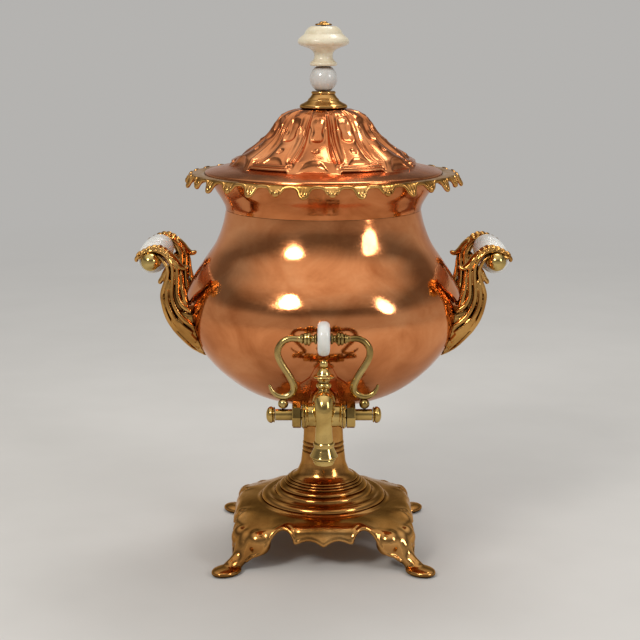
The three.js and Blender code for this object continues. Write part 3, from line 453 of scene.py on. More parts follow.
def ceramic(name, slot, pale, stained, recess, rough=(0.12, 0.28), craze=0.15):
    """Glazed ware with faint mottling, stained crazing, and a darker tone towards its hollows."""
    pale, stained, recess = (srgb(*tone) for tone in (pale, stained, recess))
    n = Nodes(name)
    tone = n.ramp(n.noise(60.0, 5.0), [(0.35, stained), (0.6, pale)])
    cracks = n.tree.nodes.new("ShaderNodeTexVoronoi")
    cracks.feature = "DISTANCE_TO_EDGE"
    cracks.inputs["Scale"].default_value = 320.0
    n.link(n.place, cracks.inputs["Vector"])
    line = n.span(cracks.outputs["Distance"], 0.0, 0.03, craze, 0.0)
    tone = n.mix(line, tone, recess)
    tone = n.mix(n.span(n.hollow(0.008), 0.2, 0.8, 0.0, 1.0), recess, tone)
    roughness = n.span(n.noise(90.0, 4.0), 0.35, 0.7, rough[0], rough[1])
    normal = n.bump(n.noise(70.0, 2.0), 0.12, 0.001)
    n.shader.inputs["Coat Weight"].default_value = 0.35
    n.shader.inputs["Coat Roughness"].default_value = 0.08
    n.shader.inputs["Subsurface Weight"].default_value = 0.08
    n.shader.inputs["Subsurface Radius"].default_value = (0.003, 0.002, 0.0015)
    return n.finish(tone, roughness, normal, slot, 0.0)


# The bowl's lower part takes a darker, browner tone: a painted dark reflection on its underside.
COPPER = metal("copper_body", "copper", (242, 166, 112), (228, 146, 92), (198, 116, 66),
               (96, 46, 20), rough=(0.06, 0.15), depth=0.0, dents=0.45, edge=0.5,
               under=(0.134, 0.212, (172, 108, 66)))
# A darker copy of the copper, with deep recess darkening, for the neck: painted shade under the rim.
SHADED_NECK_COPPER = metal("copper_neck_painted_shade", "copper", (222, 144, 92), (202, 122, 72), (166, 92, 48),
                    (82, 38, 16), rough=(0.07, 0.17), depth=0.03, dents=0.4, edge=0.5)
LID_COPPER = metal("copper_lid", "copper", (234, 158, 106), (218, 136, 84), (188, 108, 64),
                   (96, 46, 22), rough=(0.12, 0.24), depth=0.007, dents=0.12, edge=0.5)
# Deep recess darkening on the cast brass: tarnish, and painted shade round the pedestal and under the bowl.
BRASS = metal("brass_cast", "cast_brass", (214, 162, 98), (188, 134, 72), (146, 96, 48),
              (46, 28, 14), rough=(0.1, 0.22), depth=0.016)
DARK_BRASS = metal("brass_dark", "dark_brass", (226, 178, 108), (200, 148, 80), (154, 104, 50),
                   (58, 36, 18), rough=(0.08, 0.18), depth=0.004)
TAP_BRASS = metal("brass_tap", "tap_brass", (224, 192, 122), (200, 166, 98), (156, 122, 64),
                  (58, 42, 20), rough=(0.08, 0.17), depth=0.006)
RIM_BRASS = metal("brass_rim", "cast_brass", (222, 172, 106), (196, 144, 78), (148, 102, 50),
                  (50, 34, 16), rough=(0.11, 0.22), depth=0.005)
BALL_BRASS = metal("brass_ball", "cast_brass", (226, 200, 136), (202, 174, 108), (156, 128, 72),
                   (50, 38, 18), rough=(0.1, 0.2), depth=0.005)
LEVER_BRASS = metal("brass_lever", "tap_brass", (204, 178, 118), (174, 146, 88), (126, 102, 56),
                    (44, 34, 18), rough=(0.14, 0.26), depth=0.005)
TINNED = metal("tinned", "tinned_copper", (206, 198, 188), (190, 178, 164), (172, 150, 130),
               (96, 70, 52), rough=(0.28, 0.5), depth=0.01)
STEEL = metal("steel_plain", "steel", (150, 149, 148), (128, 126, 124), (98, 94, 90),
              (50, 44, 40), rough=(0.25, 0.45), depth=0.004)
IRON = metal("iron_bare", "iron", (110, 104, 100), (84, 78, 74), (66, 52, 44),
             (34, 26, 22), rough=(0.45, 0.7), depth=0.006)
WHITE = ceramic("ceramic_white", "white_ceramic", (236, 236, 232), (222, 220, 212), (168, 150, 128))
BALL_WHITE = ceramic("ceramic_ball", "white_ceramic", (214, 214, 210), (200, 196, 190),
                     (150, 130, 112), craze=0.25)
CREAM = ceramic("ceramic_cream", "cream_ceramic", (236, 226, 200), (222, 208, 176), (176, 146, 108),
                rough=(0.25, 0.45), craze=0.35)


# Base

def pedestal_outline():
    return outline(
        [(3.6, 125.4), (17.1, 125.4)],
        [(17.0, 112), (17.1, 99), (17.4, 93.4)],
        [(16.7, 92.6), (17.5, 91.8)], [(17.9, 90.4), (17.6, 89.2)],
        [(16.9, 88.4), (17.8, 87.6)], [(18.2, 86.2), (18.0, 85.0)],
        [(17.4, 84.2), (18.3, 83.4)],
        [(18.8, 79), (19.6, 73), (21.0, 69), (23.3, 64.4), (27.0, 61.4)],
        [(28.6, 61.2), (29.8, 60.4), (29.6, 59.2)],
        [(31.0, 59.2), (31.9, 58.4), (31.6, 57.4)],
        [(33.0, 57.4), (33.9, 56.6), (33.5, 55.6)],
        [(36.5, 54.8), (38.2, 53.0), (38.0, 51.4)],
        [(40.6, 50.8), (42.0, 49.4), (42.6, 47.6)],
        [(44.4, 46.4), (46.2, 46.0)],
        [(49.4, 46.8), (52.4, 45.8), (54.0, 43.2), (53.4, 40.9)],
        [(3.6, 40.9)],
    )


piece("pedestal_turned", lathe(pedestal_outline(), 160), BRASS, ["pedestal"])
piece("bowl_seat_ring", lathe(outline(
    [(3.6, 125.7), (19.0, 125.7)], [(18.4, 127.0), (19.6, 127.9)],
    [(22.6, 128.0), (24.0, 128.9), (23.2, 129.7)], [(3.6, 129.7)]), 96),
      BRASS, ["bowl_seat"])


# Plinth: a cast shell that droops to its corners, with aprons on its sides and a footed leg at each corner

PLATE_HALF = 77.0
PLATE_TOP = 40.5
PLATE_WALL = 3.0
PLATE_BEND = 7.0
NOTCH = 34
# Height of the lower edge, by the distance along a side from its middle
EDGE_X = [0, 2.5, 6, 10, 14, 18, 21.5, 23.5, 24.4, 25.2, 27, 30.5, 34, 37.5, 40.5, 42.5, 44, 46, 48, 50, 53, 57, 60,
          63, 66, 80]
EDGE_Z = [22.0, 23.8, 26.0, 27.4, 27.6, 26.6, 25.0, 24.4, 26.6, 29.4, 33.2, 36.2, 36.8, 35.8, 33.2, 30.4, 27.4, 22.4,
          18.6, 16.2, 14.6, 13.0, 11.6, 9.4, 7.5, 6.5]


def plinth_edge(along):
    return np.interp(np.abs(along), EDGE_X, EDGE_Z)


def plinth_top(x, y):
    """Height of the plate: level round the pedestal, and drooping towards the corners."""
    out = np.hypot(x, y)
    z = PLATE_TOP - 12.0 * (np.clip(out - 55, 0, None) / 41) ** 1.9
    far, along = max(abs(x), abs(y)), min(abs(x), abs(y))
    lift = math.exp(-((along - NOTCH) / 9.0) ** 2) * float(smoothstep(54, 68, far))
    return z + 1.2 * lift


def plinth_bay(along):
    """How far the edge draws in over a notch and on the leaf beside it."""
    return 8.6 * math.exp(-((along - NOTCH) / 6.6) ** 2) + 2.2 * float(smoothstep(44, 52, along))


def square_point(share, half, corner):
    """A point of one quarter of a rounded square, from the middle of its front to the middle of its right side."""
    flat = half - corner
    bend = corner * math.pi / 2
    s = share * (2 * flat + bend)
    if s < flat:
        return s, -half
    if s < flat + bend:
        a = (s - flat) / corner
        return flat + corner * math.sin(a), -flat - corner * math.cos(a)
    return half, -flat + (s - flat - bend)


def plinth_shell():
    """Outer and inner skins of the shell, from the middle of the plate down to the lower edge."""
    count = 4 * 132
    rows_out, rows_in = [], []
    for level in range(44):
        out_row, in_row = [], []
        for j in range(count):
            quarter, share = divmod(j / count * 4, 1)
            along = min(abs(k) for k in square_point(share, PLATE_HALF, 17))
            outer = PLATE_HALF - plinth_bay(along)
            xe, ye = square_point(share, outer - PLATE_BEND, 14)
            edge_top = plinth_top(xe, ye)
            low = float(plinth_edge(along))
            depth = min(12.0, max(edge_top - low, 1.5) * 0.85)
            if level < 20:
                t = (level + 1) / 20
                x, y = xe * t, ye * t
                z = plinth_top(x, y)
                xi, yi, zi = x * 0.97, y * 0.97, z - PLATE_WALL
            elif level < 30:
                a = (level - 19) / 10 * math.pi / 2
                half = outer - PLATE_BEND + PLATE_BEND * math.sin(a)
                x, y = square_point(share, half, 14 + 3 * math.sin(a))
                z = edge_top - depth * (1 - math.cos(a))
                xi, yi = square_point(share, half - PLATE_WALL, 12)
                zi = max(min(z, edge_top - PLATE_WALL), low)
            else:
                t = (level - 29) / 14
                z = (edge_top - depth) + (low - edge_top + depth) * t
                x, y = square_point(share, outer, 17)
                xi, yi = square_point(share, outer - PLATE_WALL, 14)
                zi = max(min(z, edge_top - PLATE_WALL), low)
            c, s = ((1, 0), (0, 1), (-1, 0), (0, -1))[int(quarter)]
            out_row.append((c * x - s * y, s * x + c * y, z))
            in_row.append((c * xi - s * yi, s * xi + c * yi, zi))
        rows_out.append(out_row)
        rows_in.append(in_row)
    rows = [[(0, 0, PLATE_TOP)] * count] + rows_out + rows_in[::-1] + [[(0, 0, PLATE_TOP - PLATE_WALL)] * count]
    return grid(np.array(rows), len(rows), count)


def tilted(degrees):
    """A rotation about +Y."""
    c, s = math.cos(math.radians(degrees)), math.sin(math.radians(degrees))
    return np.array([[c, 0, s], [0, 1, 0], [-s, 0, c]])


def plinth_leaves():
    """The two broad leaves that swell out of one side, beside its legs."""
    shapes = []
    for side in (-1, 1):
        shapes.append(ball((side * 54.2, -68.5, 22.8), (10.4, 9.4, 11.2), 28, 36, tilted(side * 24)))
        shapes.append(ball((side * 61.4, -69.0, 17.8), (4.6, 5.0, 6.2), 16, 20, tilted(side * -10)))
    return joined(*shapes)


def plinth_trim():
    """The rolled lower edge of one side, and the lips of its two notches."""
    xs = np.linspace(-24.2, 24.2, 80)
    zs = plinth_edge(xs) + 1.0
    shapes = [tube(resampled(np.stack([xs, np.full(80, -76.4), zs], axis=1), 90), 1.6, 12)]
    for side in (-1, 1):
        lip = [(23.7, 76.4, 25.6), (24.6, 75.6, 29.4), (27.0, 73.0, 33.2), (30.6, 70.4, 35.4), (34.2, 69.4, 35.8),
               (37.6, 70.2, 34.8), (41.0, 72.2, 32.4), (44.0, 74.4, 29.4), (46.2, 75.6, 24.4), (48.6, 76.0, 19.8),
               (51.2, 76.0, 16.8), (54.6, 75.8, 14.8), (58.8, 75.6, 13.2), (62.0, 75.4, 10.8), (65.0, 75.0, 8.2)]
        path = resampled([(side * x, -y, z) for x, y, z in spline(lip, 8)], 90)
        shapes.append(tapered(path, [0, 0.05, 0.15, 0.28, 0.45, 0.6, 0.8, 1],
                              [1.2, 1.7, 2.0, 2.0, 1.8, 1.6, 1.5, 1.2], 14))
    return joined(*shapes)


def plinth_leg():
    """The ridge and foot of the leg at the front right corner."""
    line = [(40, 33.0, 3.0), (50, 30.0, 6.0), (57.4, 25.8, 8.4), (62.4, 22.8, 10.0), (65.4, 18.2, 9.2),
            (67.6, 13.8, 8.0), (70.4, 10.0, 6.8), (74.6, 7.2, 5.8), (79.2, 5.2, 5.0)]
    path = spline([(d, -d, z) for d, z, _ in line], 8)
    bar = tube(path, spread([r for _, _, r in line], len(path)), 28)
    pad = lathe(outline([(0, 0.0), (9.6, 0.0), (11.2, 0.9), (11.9, 2.4), (11.2, 4.0), (8.4, 5.4), (4, 6.4),
                         (0, 6.8)]), 56)
    c = math.sqrt(0.5)
    turn = np.array([[c, c, 0], [-c, c, 0], [0, 0, 1]])
    points = (pad[0] * np.array([1.2, 0.92, 1])) @ turn.T
    return joined(bar, (points + np.array([80.4, -80.4, 0.3]), pad[1]))


def near_leg(points):
    """1 on the corners and legs, where the casting flows, and less on the edges between them."""
    along = np.minimum(np.abs(points[:, 0]), np.abs(points[:, 1]))
    return 0.12 + 0.88 * smoothstep(38, 48, along) * smoothstep(5, 11, points[:, 2])


def plinth_casting():
    """Shell, legs and leaves melted together, and then the crisper trim melted onto them."""
    ring = np.linspace(0, 2 * math.pi, 120, endpoint=False)
    fillet = np.stack([54.7 * np.sin(ring), -54.7 * np.cos(ring), np.full(120, 41.2)], axis=1)
    turns = (0, 90, 180, 270)
    body = [plinth_shell(), tube(fillet, 1.6, 12, closed=True, normal=(0, 0, 1))]
    body += [turned_by(shape(), turn) for turn in turns for shape in (plinth_leaves, plinth_leg)]
    base = taken(relaxed(fused("plinth_base", body, 0.9, smooth=2), near_leg, 15))
    trim = [turned_by(plinth_trim(), turn) for turn in turns]
    return fused("plinth_casting", [base] + trim, 0.75, smooth=5)


piece("plinth_casting", plinth_casting(), BRASS, ["plinth"], sharp=0)


# Bowl and neck

BOWL_LINE = [(3.6, 130.0), (16, 130.0), (27, 130.6), (45, 134.0), (64, 141), (76.6, 148.8), (87, 157.3),
             (94.4, 164.6), (102.6, 174.6), (108.6, 183.6), (113.2, 193.0), (116.2, 203.5), (117.0, 214.0),
             (115.2, 226.0), (109.0, 239.4), (100.2, 252.8), (90.9, 266.8), (84.9, 282.0), (82.0, 295.0)]
SHEET = 1.5
NECK_LINE = [(82.1, 295.3), (82.9, 298.6), (86.2, 304.9), (90.2, 311.2), (94.0, 318.2), (96.0, 322.3)]


def walled(line, wall):
    """A turned wall: the outer outline, and back along an inner one."""
    line = np.array(line)
    tangent = directions(line)
    inner = line - np.stack([tangent[:, 1], -tangent[:, 0]], axis=1) * wall
    inner[0][0] = max(inner[0][0], line[0][0])
    inner[-1][1] = line[-1][1]
    return np.vstack([line, inner[::-1]])


def hand_made(amount, size, seed):
    """Moves a turned surface in and out by a slow random amount, as hammered and spun sheet has it."""
    def shape(radius, height, angle):
        out = radius.copy()
        for i in range(radius.shape[0]):
            for j in range(radius.shape[1]):
                a = angle[0][j]
                place = Vector((math.sin(a), -math.cos(a), 0)) * (radius[i, j] / size) + Vector(
                    (seed, seed, height[i, j] / size))
                out[i, j] += amount * noise.noise(place)
        return out, height
    return shape


piece("bowl_shell", lathe(walled(spline(BOWL_LINE, 6), SHEET), 192, hand_made(0.22, 34.0, 3.1)), COPPER, ["bowl"])
piece("neck_shell", lathe(walled(spline(NECK_LINE, 6), SHEET), 192, hand_made(0.12, 30.0, 5.7)), SHADED_NECK_COPPER,
      ["neck"])


# Rim: a flat brass ring whose flared edge hangs in sixteen beads with sixteen leaves between them

RIM_TURN = 3.4
BEADS = 16
REPEAT = 360 / BEADS
RIM_TOP = 325.8
RIM_FOOT = 322.7
RIM_SHOULDER = 107.5
# Depth of the hanging edge below the rim's top, by the distance from a bead's middle towards the next leaf
DROP = ([0, 1.2, 2.2, 2.9, 3.6, 4.2, 5.0, 6.2, 7.6, 9.6, 12.2, 14.6, 16.2, 17.6, 18.6, 19.4, 20.2, 21.2, 22.6],
        [8.1, 7.4, 5.2, 4.8, 6.4, 5.8, 4.2, 3.0, 2.3, 2.0, 1.9, 2.1, 2.6, 3.6, 5.0, 6.8, 8.6, 9.6, 9.9])


def rim_drop(angle):
    """Depth of the hanging edge at an angle."""
    across = np.abs((((angle - RIM_TURN) / REPEAT + 0.5) % 1) - 0.5) * REPEAT
    return np.interp(across / (REPEAT / 2) * DROP[0][-1], *DROP)


def rim_reach(drop):
    """Radius of the hanging edge: the lower it hangs, the further it flares."""
    return 112.0 + 0.52 * (drop - 2.0)


def ring_at(radius, height, rad):
    """Points at angles about the axis. Radius and height are one number, or one for each angle."""
    radius, height = np.broadcast_to(radius, rad.shape), np.broadcast_to(height, rad.shape)
    return np.stack([radius * np.sin(rad), -radius * np.cos(rad), height], axis=1)


def rim_ring():
    """The ring's turned section with its hanging edge, and the beads and leaves on it."""
    columns = BEADS * 64
    angle = np.linspace(0, 360, columns, endpoint=False)
    rad = np.radians(angle)
    drop = rim_drop(angle)
    reach = rim_reach(drop)
    rows = [ring_at(radius, height, rad) for radius, height in (
        (91.0, RIM_FOOT), (91.0, 324.5), (99.8, 324.5), (99.8, RIM_TOP - 0.3), (100.2, RIM_TOP), (104.0, RIM_TOP),
        (RIM_SHOULDER, RIM_TOP - 0.1))]
    for share in np.linspace(0.15, 1, 9):
        bend = math.sin(share * math.pi / 2)
        radius = RIM_SHOULDER + (reach - RIM_SHOULDER) * bend
        height = RIM_TOP - 0.1 - (drop - 1.2) * (1 - math.cos(share * math.pi / 2)) ** 0.9
        rows.append(ring_at(radius, height, rad))
    rows.append(ring_at(reach + 0.1, RIM_TOP - drop + 0.5, rad))
    rows.append(ring_at(reach - 0.7, RIM_TOP - drop, rad))
    rows.append(ring_at(reach - 1.7, RIM_TOP - drop + 0.5, rad))
    for share in np.linspace(0.2, 1, 5):
        radius = (reach - 1.9) + (106.0 - reach + 1.9) * share
        height = (RIM_TOP - drop + 0.8) + (RIM_FOOT - RIM_TOP + drop - 0.8) * share ** 0.7
        rows.append(ring_at(radius, height, rad))
    points = np.array(rows + rows[:1])
    shapes = [grid(points, len(points), columns)]
    edge = ring_at(reach - 0.7, RIM_TOP - drop + 0.75, rad)
    shapes.append(tube(edge, 1.45, 12, closed=True, normal=(0, 0, 1)))
    lean = np.array([[1, 0, 0], [0, math.cos(0.5), -math.sin(0.5)], [0, math.sin(0.5), math.cos(0.5)]])
    for k in range(BEADS):
        bead = RIM_TURN + REPEAT * k
        shapes.append(turned_by(ball((0, -113.6, 319.3), (2.7, 2.3, 2.8), 16, 22), bead))
        for side in (-1, 1):
            shapes.append(turned_by(ball((side * 3.7, -113.3, 320.9), (1.1, 1.5, 2.4), 12, 14), bead))
        leaf = bead + REPEAT / 2
        for side in (-1, 1):
            shapes.append(turned_by(ball((side * 1.3, -113.7, 320.4), (2.0, 1.7, 4.4), 14, 18, lean.T), leaf))
        shapes.append(turned_by(ball((0, -115.2, 318.4), (1.4, 1.4, 2.6), 12, 16, lean.T), leaf))
    return joined(*shapes)


piece("rim_scalloped", rim_ring(), RIM_BRASS, ["scalloped_rim"], sharp=50)


# Lid: twelve pressed lobes over a plain flange. Ribs run down between them, and sweep under every second lobe.

LOBES = 12
PITCH = 360 / LOBES
LOBE_TURN = -6.0
LID_EDGE = 99.3
LID_FOOT = 324.9
DOME = [(77.2, 332.4), (78.0, 334.4), (77.0, 337.4), (72.6, 340.8), (64.8, 345.0), (57.0, 349.6), (50.6, 354.4),
        (45.6, 359.4), (42.6, 363.6), (40.2, 367.2), (36.4, 371.6), (31.0, 375.6), (24.0, 377.9)]
# Half the width of a lobe, by the length up its crest from the foot: the open lobes, then the ones held by ribs.
# The whole crest has this length.
CREST = 73.3
OPEN_HALF = ([0, 4, 8, 12, 16, 20, 26, 32, 40, 50, 60, CREST],
             [20.6, 19.2, 17.2, 15.4, 14.0, 12.8, 11.4, 10.4, 9.3, 8.2, 6.8, 4.4])
HELD_HALF = ([0, 8.6, 9.8, 11, 13, 16, 20, 25, 32, 40, 50, 60, CREST],
             [18.6, 18.6, 17.4, 15.0, 13.0, 11.7, 10.7, 9.9, 9.0, 8.2, 7.2, 5.8, 3.9])


def mark(u, s, middle, half_long, half_wide, waist=0.0):
    """Distance outside a pressed oval mark, in shares of its size, with a waist if one is given."""
    along = (s - middle) / half_long
    wide = half_wide * (1 - waist * np.exp(-(along / 0.42) ** 2))
    return (np.abs(u / wide) ** 2.6 + abs(along) ** 2.6) ** (1 / 2.6)


def toe_facet(u, s, half, low, high, depth):
    """How deep the flat lens at the toe of a lobe cuts in, under its arch."""
    top = low + (high - low) * np.clip(1 - (u / half) ** 2.4, 0, 1)
    share = np.clip((s - low) / np.maximum(top - low, 0.01), 0, 1)
    return depth * (top - low) / (high - low) * np.sin(math.pi * share) ** 0.75


def from_open(angle):
    """How many degrees an angle is away from the middle of the nearest open lobe."""
    turn = (angle - LOBE_TURN) % (2 * PITCH)
    return np.minimum(turn, 2 * PITCH - turn)


def lid_relief(angle, s, radius):
    """How far the lid stands out from its crest line, in millimetres, at angles round it."""
    u_open = radius * np.radians(from_open(angle))
    u_held = radius * np.radians(PITCH - from_open(angle))
    half_open = float(np.interp(s, *OPEN_HALF))
    half_held = float(np.interp(s, *HELD_HALF))
    corner = 3.0
    side = np.maximum(u_held - half_held + corner, 0)
    down = max(9.0 - s + corner, 0)
    out_held = np.hypot(side, down) - corner
    out_open = u_open - half_open
    fade = float(np.interp(s, [0, 50, 66, CREST], [1, 1, 0.55, 0]))
    both = smoothstep(-0.4, 2.4, out_held) * smoothstep(-0.4, 2.4, out_open)
    deep = float(np.interp(s, [0, 4, 10, 20, 40, 60, CREST], [0.2, 0.6, 1.7, 2.5, 2.5, 1.9, 0.7]))
    relief = -deep * both
    ribs = 0.5 + 0.5 * np.cos(2 * math.pi * (out_held - 1.8) / 3.1)
    relief += 1.0 * ribs * smoothstep(0.2, 1.4, out_held) * smoothstep(-0.2, 1.4, out_open) * fade
    in_open, in_held = smoothstep(0.6, -1.2, out_open), smoothstep(0.6, -1.2, out_held)
    crown_open = np.clip(1 - (u_open / half_open) ** 2, 0, 1) ** 0.8
    crown_held = np.clip(1 - (u_held / half_held) ** 2, 0, 1) ** 0.8 * float(smoothstep(8.5, 13, s))
    crown = float(np.interp(s, [0, 6, 14, 30, 60, CREST], [0.2, 1.6, 2.4, 2.1, 1.5, 0]))
    relief += crown * (crown_open * in_open + crown_held * in_held - 1)
    relief += 0.6 * np.exp(-((out_open + 1.0) / 1.0) ** 2) * fade
    relief += 0.6 * np.exp(-((out_held + 1.0) / 1.0) ** 2) * fade * float(smoothstep(7, 10, s))
    relief -= in_held * float(np.interp(s, [0, 8, 13, 24, 34], [0, 2.6, 2.0, 0.7, 0]))
    relief -= toe_facet(u_open, s, 14.6, 0.4, 13.0, 3.6) * in_open
    relief -= toe_facet(u_held, s, 11.0, 9.4, 18.2, 2.4) * in_held
    for u, inside in ((u_open, in_open), (u_held, in_held)):
        relief -= 1.6 * smoothstep(1.15, 0.6, mark(u, s, 48.0, 11.6, 5.6, 0.34)) * inside
        relief += 0.6 * np.exp(-((mark(u, s, 48.0, 12.6, 6.5, 0.28) - 1.05) / 0.16) ** 2) * inside
        relief -= 1.3 * smoothstep(1.2, 0.4, mark(u, s, 26.0, 3.2, 2.9)) * inside
    return relief


def plain_foot(angle):
    """1 where the dome flows out into the flange, and 0 where a lip closes a lobe."""
    return smoothstep(17.0, 21.5, 77.0 * np.radians(PITCH - from_open(angle)))


def lid_dome():
    """The lid's flange, its pressed dome and the underside of both."""
    columns = LOBES * 66
    angle = np.linspace(0, 360, columns, endpoint=False)
    line = resampled(spline(DOME, 10), 150)
    tangent = directions(line)
    outward = np.stack([tangent[:, 1], -tangent[:, 0]], axis=1)
    rad = np.radians(angle)
    rows = [ring_at(LID_EDGE, LID_FOOT, rad), ring_at(LID_EDGE, 326.5, rad), ring_at(98.8, 326.85, rad)]
    for share in np.linspace(0.08, 0.98, 14):
        radius = LID_EDGE + (81.4 - LID_EDGE) * share
        height = 326.85 + 4.25 * share + 0.3 * math.sin(share * math.pi)
        rows.append(ring_at(radius, height, rad))
    for k, (radius, height) in enumerate(line):
        s = k / (len(line) - 1) * CREST
        d = lid_relief(angle, s, radius)
        settle_in = float(smoothstep(0, 2.5, s))
        d = d * (0.25 + 0.75 * settle_in)
        r = radius + outward[k][0] * d
        z = height + outward[k][1] * d
        t = min(s / 12.5, 1)
        sweep_r = (1 - t) ** 2 * 80.6 + 2 * t * (1 - t) * 76.2 + t * t * 71.6
        sweep_z = (1 - t) ** 2 * 331.3 + 2 * t * (1 - t) * 332.6 + t * t * 341.2
        flow = plain_foot(angle) * float(smoothstep(12.5, 9.0, s))
        bare = np.minimum(d + 0.9, 0)
        r = r + (sweep_r + 0.9 * bare - r) * flow
        z = z + (sweep_z - z) * flow
        z = np.maximum(z, 331.9 - 0.27 * (r - 77) + 0.05 * k / len(line))
        rows.append(ring_at(r, z, rad))
    outer = np.array(rows)
    inner = outer[::3].copy()
    flat = np.linalg.norm(inner[:, :, :2], axis=2)
    shrink = (flat - 1.3) / flat
    inner[:, :, 0] *= shrink
    inner[:, :, 1] *= shrink
    inner[:, :, 2] -= 0.7
    inner[0, :, 2] = LID_FOOT
    last = ring_at(2.6, 377.9, rad)
    last_in = last - np.array([0, 0, 1.2])
    points = np.concatenate([outer, last[None], last_in[None], inner[::-1], outer[:1]])
    return grid(points, len(points), columns)


piece("lid_lobed", lid_dome(), LID_COPPER, ["lid_dome"], "lid", sharp=60)
piece("lid_bezel_ring", lathe(outline([(87.6, 314.6), (89.0, 314.6)], [(89.0, 327.2)],
                                      [(87.6, 327.4)]), 128), TINNED, ["lid_bezel"], "lid")


# Finial

piece("finial_collar_turned", lathe(outline(
    [(2.5, 378.3), (18.6, 378.3)], [(19.8, 379.4), (19.7, 381.0), (18.6, 382.0)],
    [(15.4, 383.6), (13.4, 384.8)], [(12.9, 385.4), (12.9, 386.0)],
    [(11.4, 387.4), (10.0, 389.4), (9.4, 390.4)], [(10.1, 391.0), (9.9, 392.2), (9.2, 392.7)],
    [(2.5, 392.7)]), 96), RIM_BRASS, ["finial_collar"], "lid")
arc = np.radians(np.linspace(-60.4, 60.4, 33))
piece("finial_ball_turned", lathe(np.vstack([
    [(2.5, 393.0)], np.stack([11.5 * np.cos(arc), 403.0 + 11.5 * np.sin(arc)], axis=1), [(2.5, 413.0)]]), 96),
      BALL_WHITE, ["finial_ball"], "lid")
piece("finial_knob_turned", lathe(outline(
    [(2.5, 413.4), (10.4, 413.4)], [(11.3, 414.4), (11.1, 415.8), (9.2, 417.4)],
    [(7.9, 419.6), (7.7, 422.4), (8.6, 424.8), (11.4, 427.2), (16.2, 429.0), (19.9, 430.6), (21.3, 432.9),
     (20.6, 435.2), (18.2, 437.4), (16.0, 439.2)],
    [(15.0, 441.4), (12.8, 444.0), (10.2, 445.5), (8.2, 445.7)], [(2.5, 445.7)]), 128),
      CREAM, ["finial_knob"], "lid")


def rosette():
    def petals(radius, height, angle):
        return radius * (1 + 0.07 * np.cos(8 * angle)), height
    return lathe(outline([(0, 446.0), (6.0, 446.0)], [(6.5, 446.9), (5.6, 447.6)],
                         [(3.4, 448.0), (3.0, 448.8), (1.8, 449.4), (0, 449.4)]), 96, petals)


piece("finial_rosette_cast", rosette(), RIM_BRASS, ["finial_rosette"], "lid")


# Tap, laid out from the middle of its plug

TAP = np.array([0, -136.0, 151.8])
SPOUT_OUT = 29.3


def at_tap(shape):
    return moved(shape, TAP)


def turned(axis, segments, *runs, at=(0, 0, 0), shape=None):
    """A turned piece of the tap, laid along an axis."""
    return at_tap(laid(lathe(outline(*runs), segments, shape), axis, at))


def tap_casting():
    """Barrel, shank, hood and spout in one casting, with the middle of the plug at 0."""
    barrel = laid(lathe(outline(
        [(0, -14.5), (10.2, -14.5)], [(10.5, -13.8), (10.2, -13.0)], [(9.4, -12.4), (9.3, -11.0)],
        [(9.6, -6.0), (9.8, 0.0), (9.6, 6.0), (9.3, 11.0)],
        [(9.4, 12.4), (10.2, 13.0)], [(10.5, 13.8), (10.2, 14.5)], [(0, 14.5)]), 64), "+X")
    shank = laid(lathe(outline(
        [(0, 0), (8.4, 0)], [(7.4, 8), (8.0, 13), (10.8, 16.6)], [(11.2, 18.4), (10.8, 20.0)],
        [(6.6, 20.0)], [(6.6, 62.0)], [(0, 62.0)]), 48), "+Y")
    hood = lathe(outline([(0, -2), (8.8, -2)], [(8.9, 6), (8.6, 12), (7.4, 16.2), (5.0, 18.6), (3.9, 20.0)],
                         [(0, 20.0)]), 48)
    line = [(0, 0, 0), (0, -8, 5.0), (0, -14.5, 11.5), (0, -20.5, 16.0), (0, -25.8, 16.2), (0, -29.0, 11.0),
            (0, -29.5, 3.5), (0, -SPOUT_OUT, -6), (0, -SPOUT_OUT, -14), (0, -SPOUT_OUT, -21)]
    path = spline(line, 8)
    spout = tube(path, spread([8.2, 8.0, 7.6, 7.4, 7.2, 7.0, 6.0, 6.3, 6.9, 7.1], len(path)), 40)
    return fused("tap_casting", [barrel, shank, hood, spout], 0.42, smooth=3)


tap = tap_casting()
tap.data.transform(Matrix.Translation(Vector(TAP)))
piece("tap_casting", tap, TAP_BRASS, ["tap_body"], sharp=0)
piece("tap_nozzle_turned", at_tap(moved(lathe(outline(
    [(6.9, -13.4), (7.6, -13.4)], [(8.1, -14.4), (7.6, -15.6)],
    [(7.2, -16.8), (7.7, -18.2), (8.8, -20.6), (10.2, -23.6)],
    [(10.5, -24.3), (10.1, -24.9)], [(8.9, -25.1), (8.4, -25.9)],
    [(8.7, -26.8), (8.1, -27.7)], [(7.7, -29.2), (7.3, -30.4)], [(6.4, -30.4)],
    [(6.4, -21.4)],
    [(6.9, -21.2)]), 72), (0, -SPOUT_OUT, 0))), TAP_BRASS, ["tap_nozzle"])
piece("tap_finial_turned", at_tap(lathe(outline(
    [(0, 20.3), (4.6, 20.3)], [(4.2, 21.0), (5.4, 22.0), (6.0, 23.6), (5.4, 25.2), (4.0, 26.0)],
    [(3.9, 26.8), (4.9, 27.4), (5.1, 28.2), (5.6, 28.9), (7.8, 29.8)], [(8.1, 30.5), (7.7, 31.1)],
    [(6.0, 32.2), (5.0, 34.2), (3.4, 36.6), (2.1, 37.6)],
    [(2.0, 37.6)], [(2.9, 38.6), (3.2, 40.4), (2.6, 42.4), (1.2, 43.5), (0, 43.7)]), 56)), TAP_BRASS, ["tap_finial"])


def gland(side):
    """A gland nut with its flats cut on a turned blank."""
    flats = 8

    def facets(radius, height, angle):
        share = np.cos(math.pi / flats) / np.cos((angle % (2 * math.pi / flats)) - math.pi / flats)
        cut = np.clip((radius - 7.0) / 2.0, 0, 1)
        return radius * (1 + (share - 1) * cut), height
    return turned("+X" if side > 0 else "-X", 96, [(4.7, 17.3), (9.6, 17.3)], [(10.6, 17.9)], [(10.6, 23.6)],
                  [(9.8, 24.3)], [(4.7, 24.3)], shape=facets)


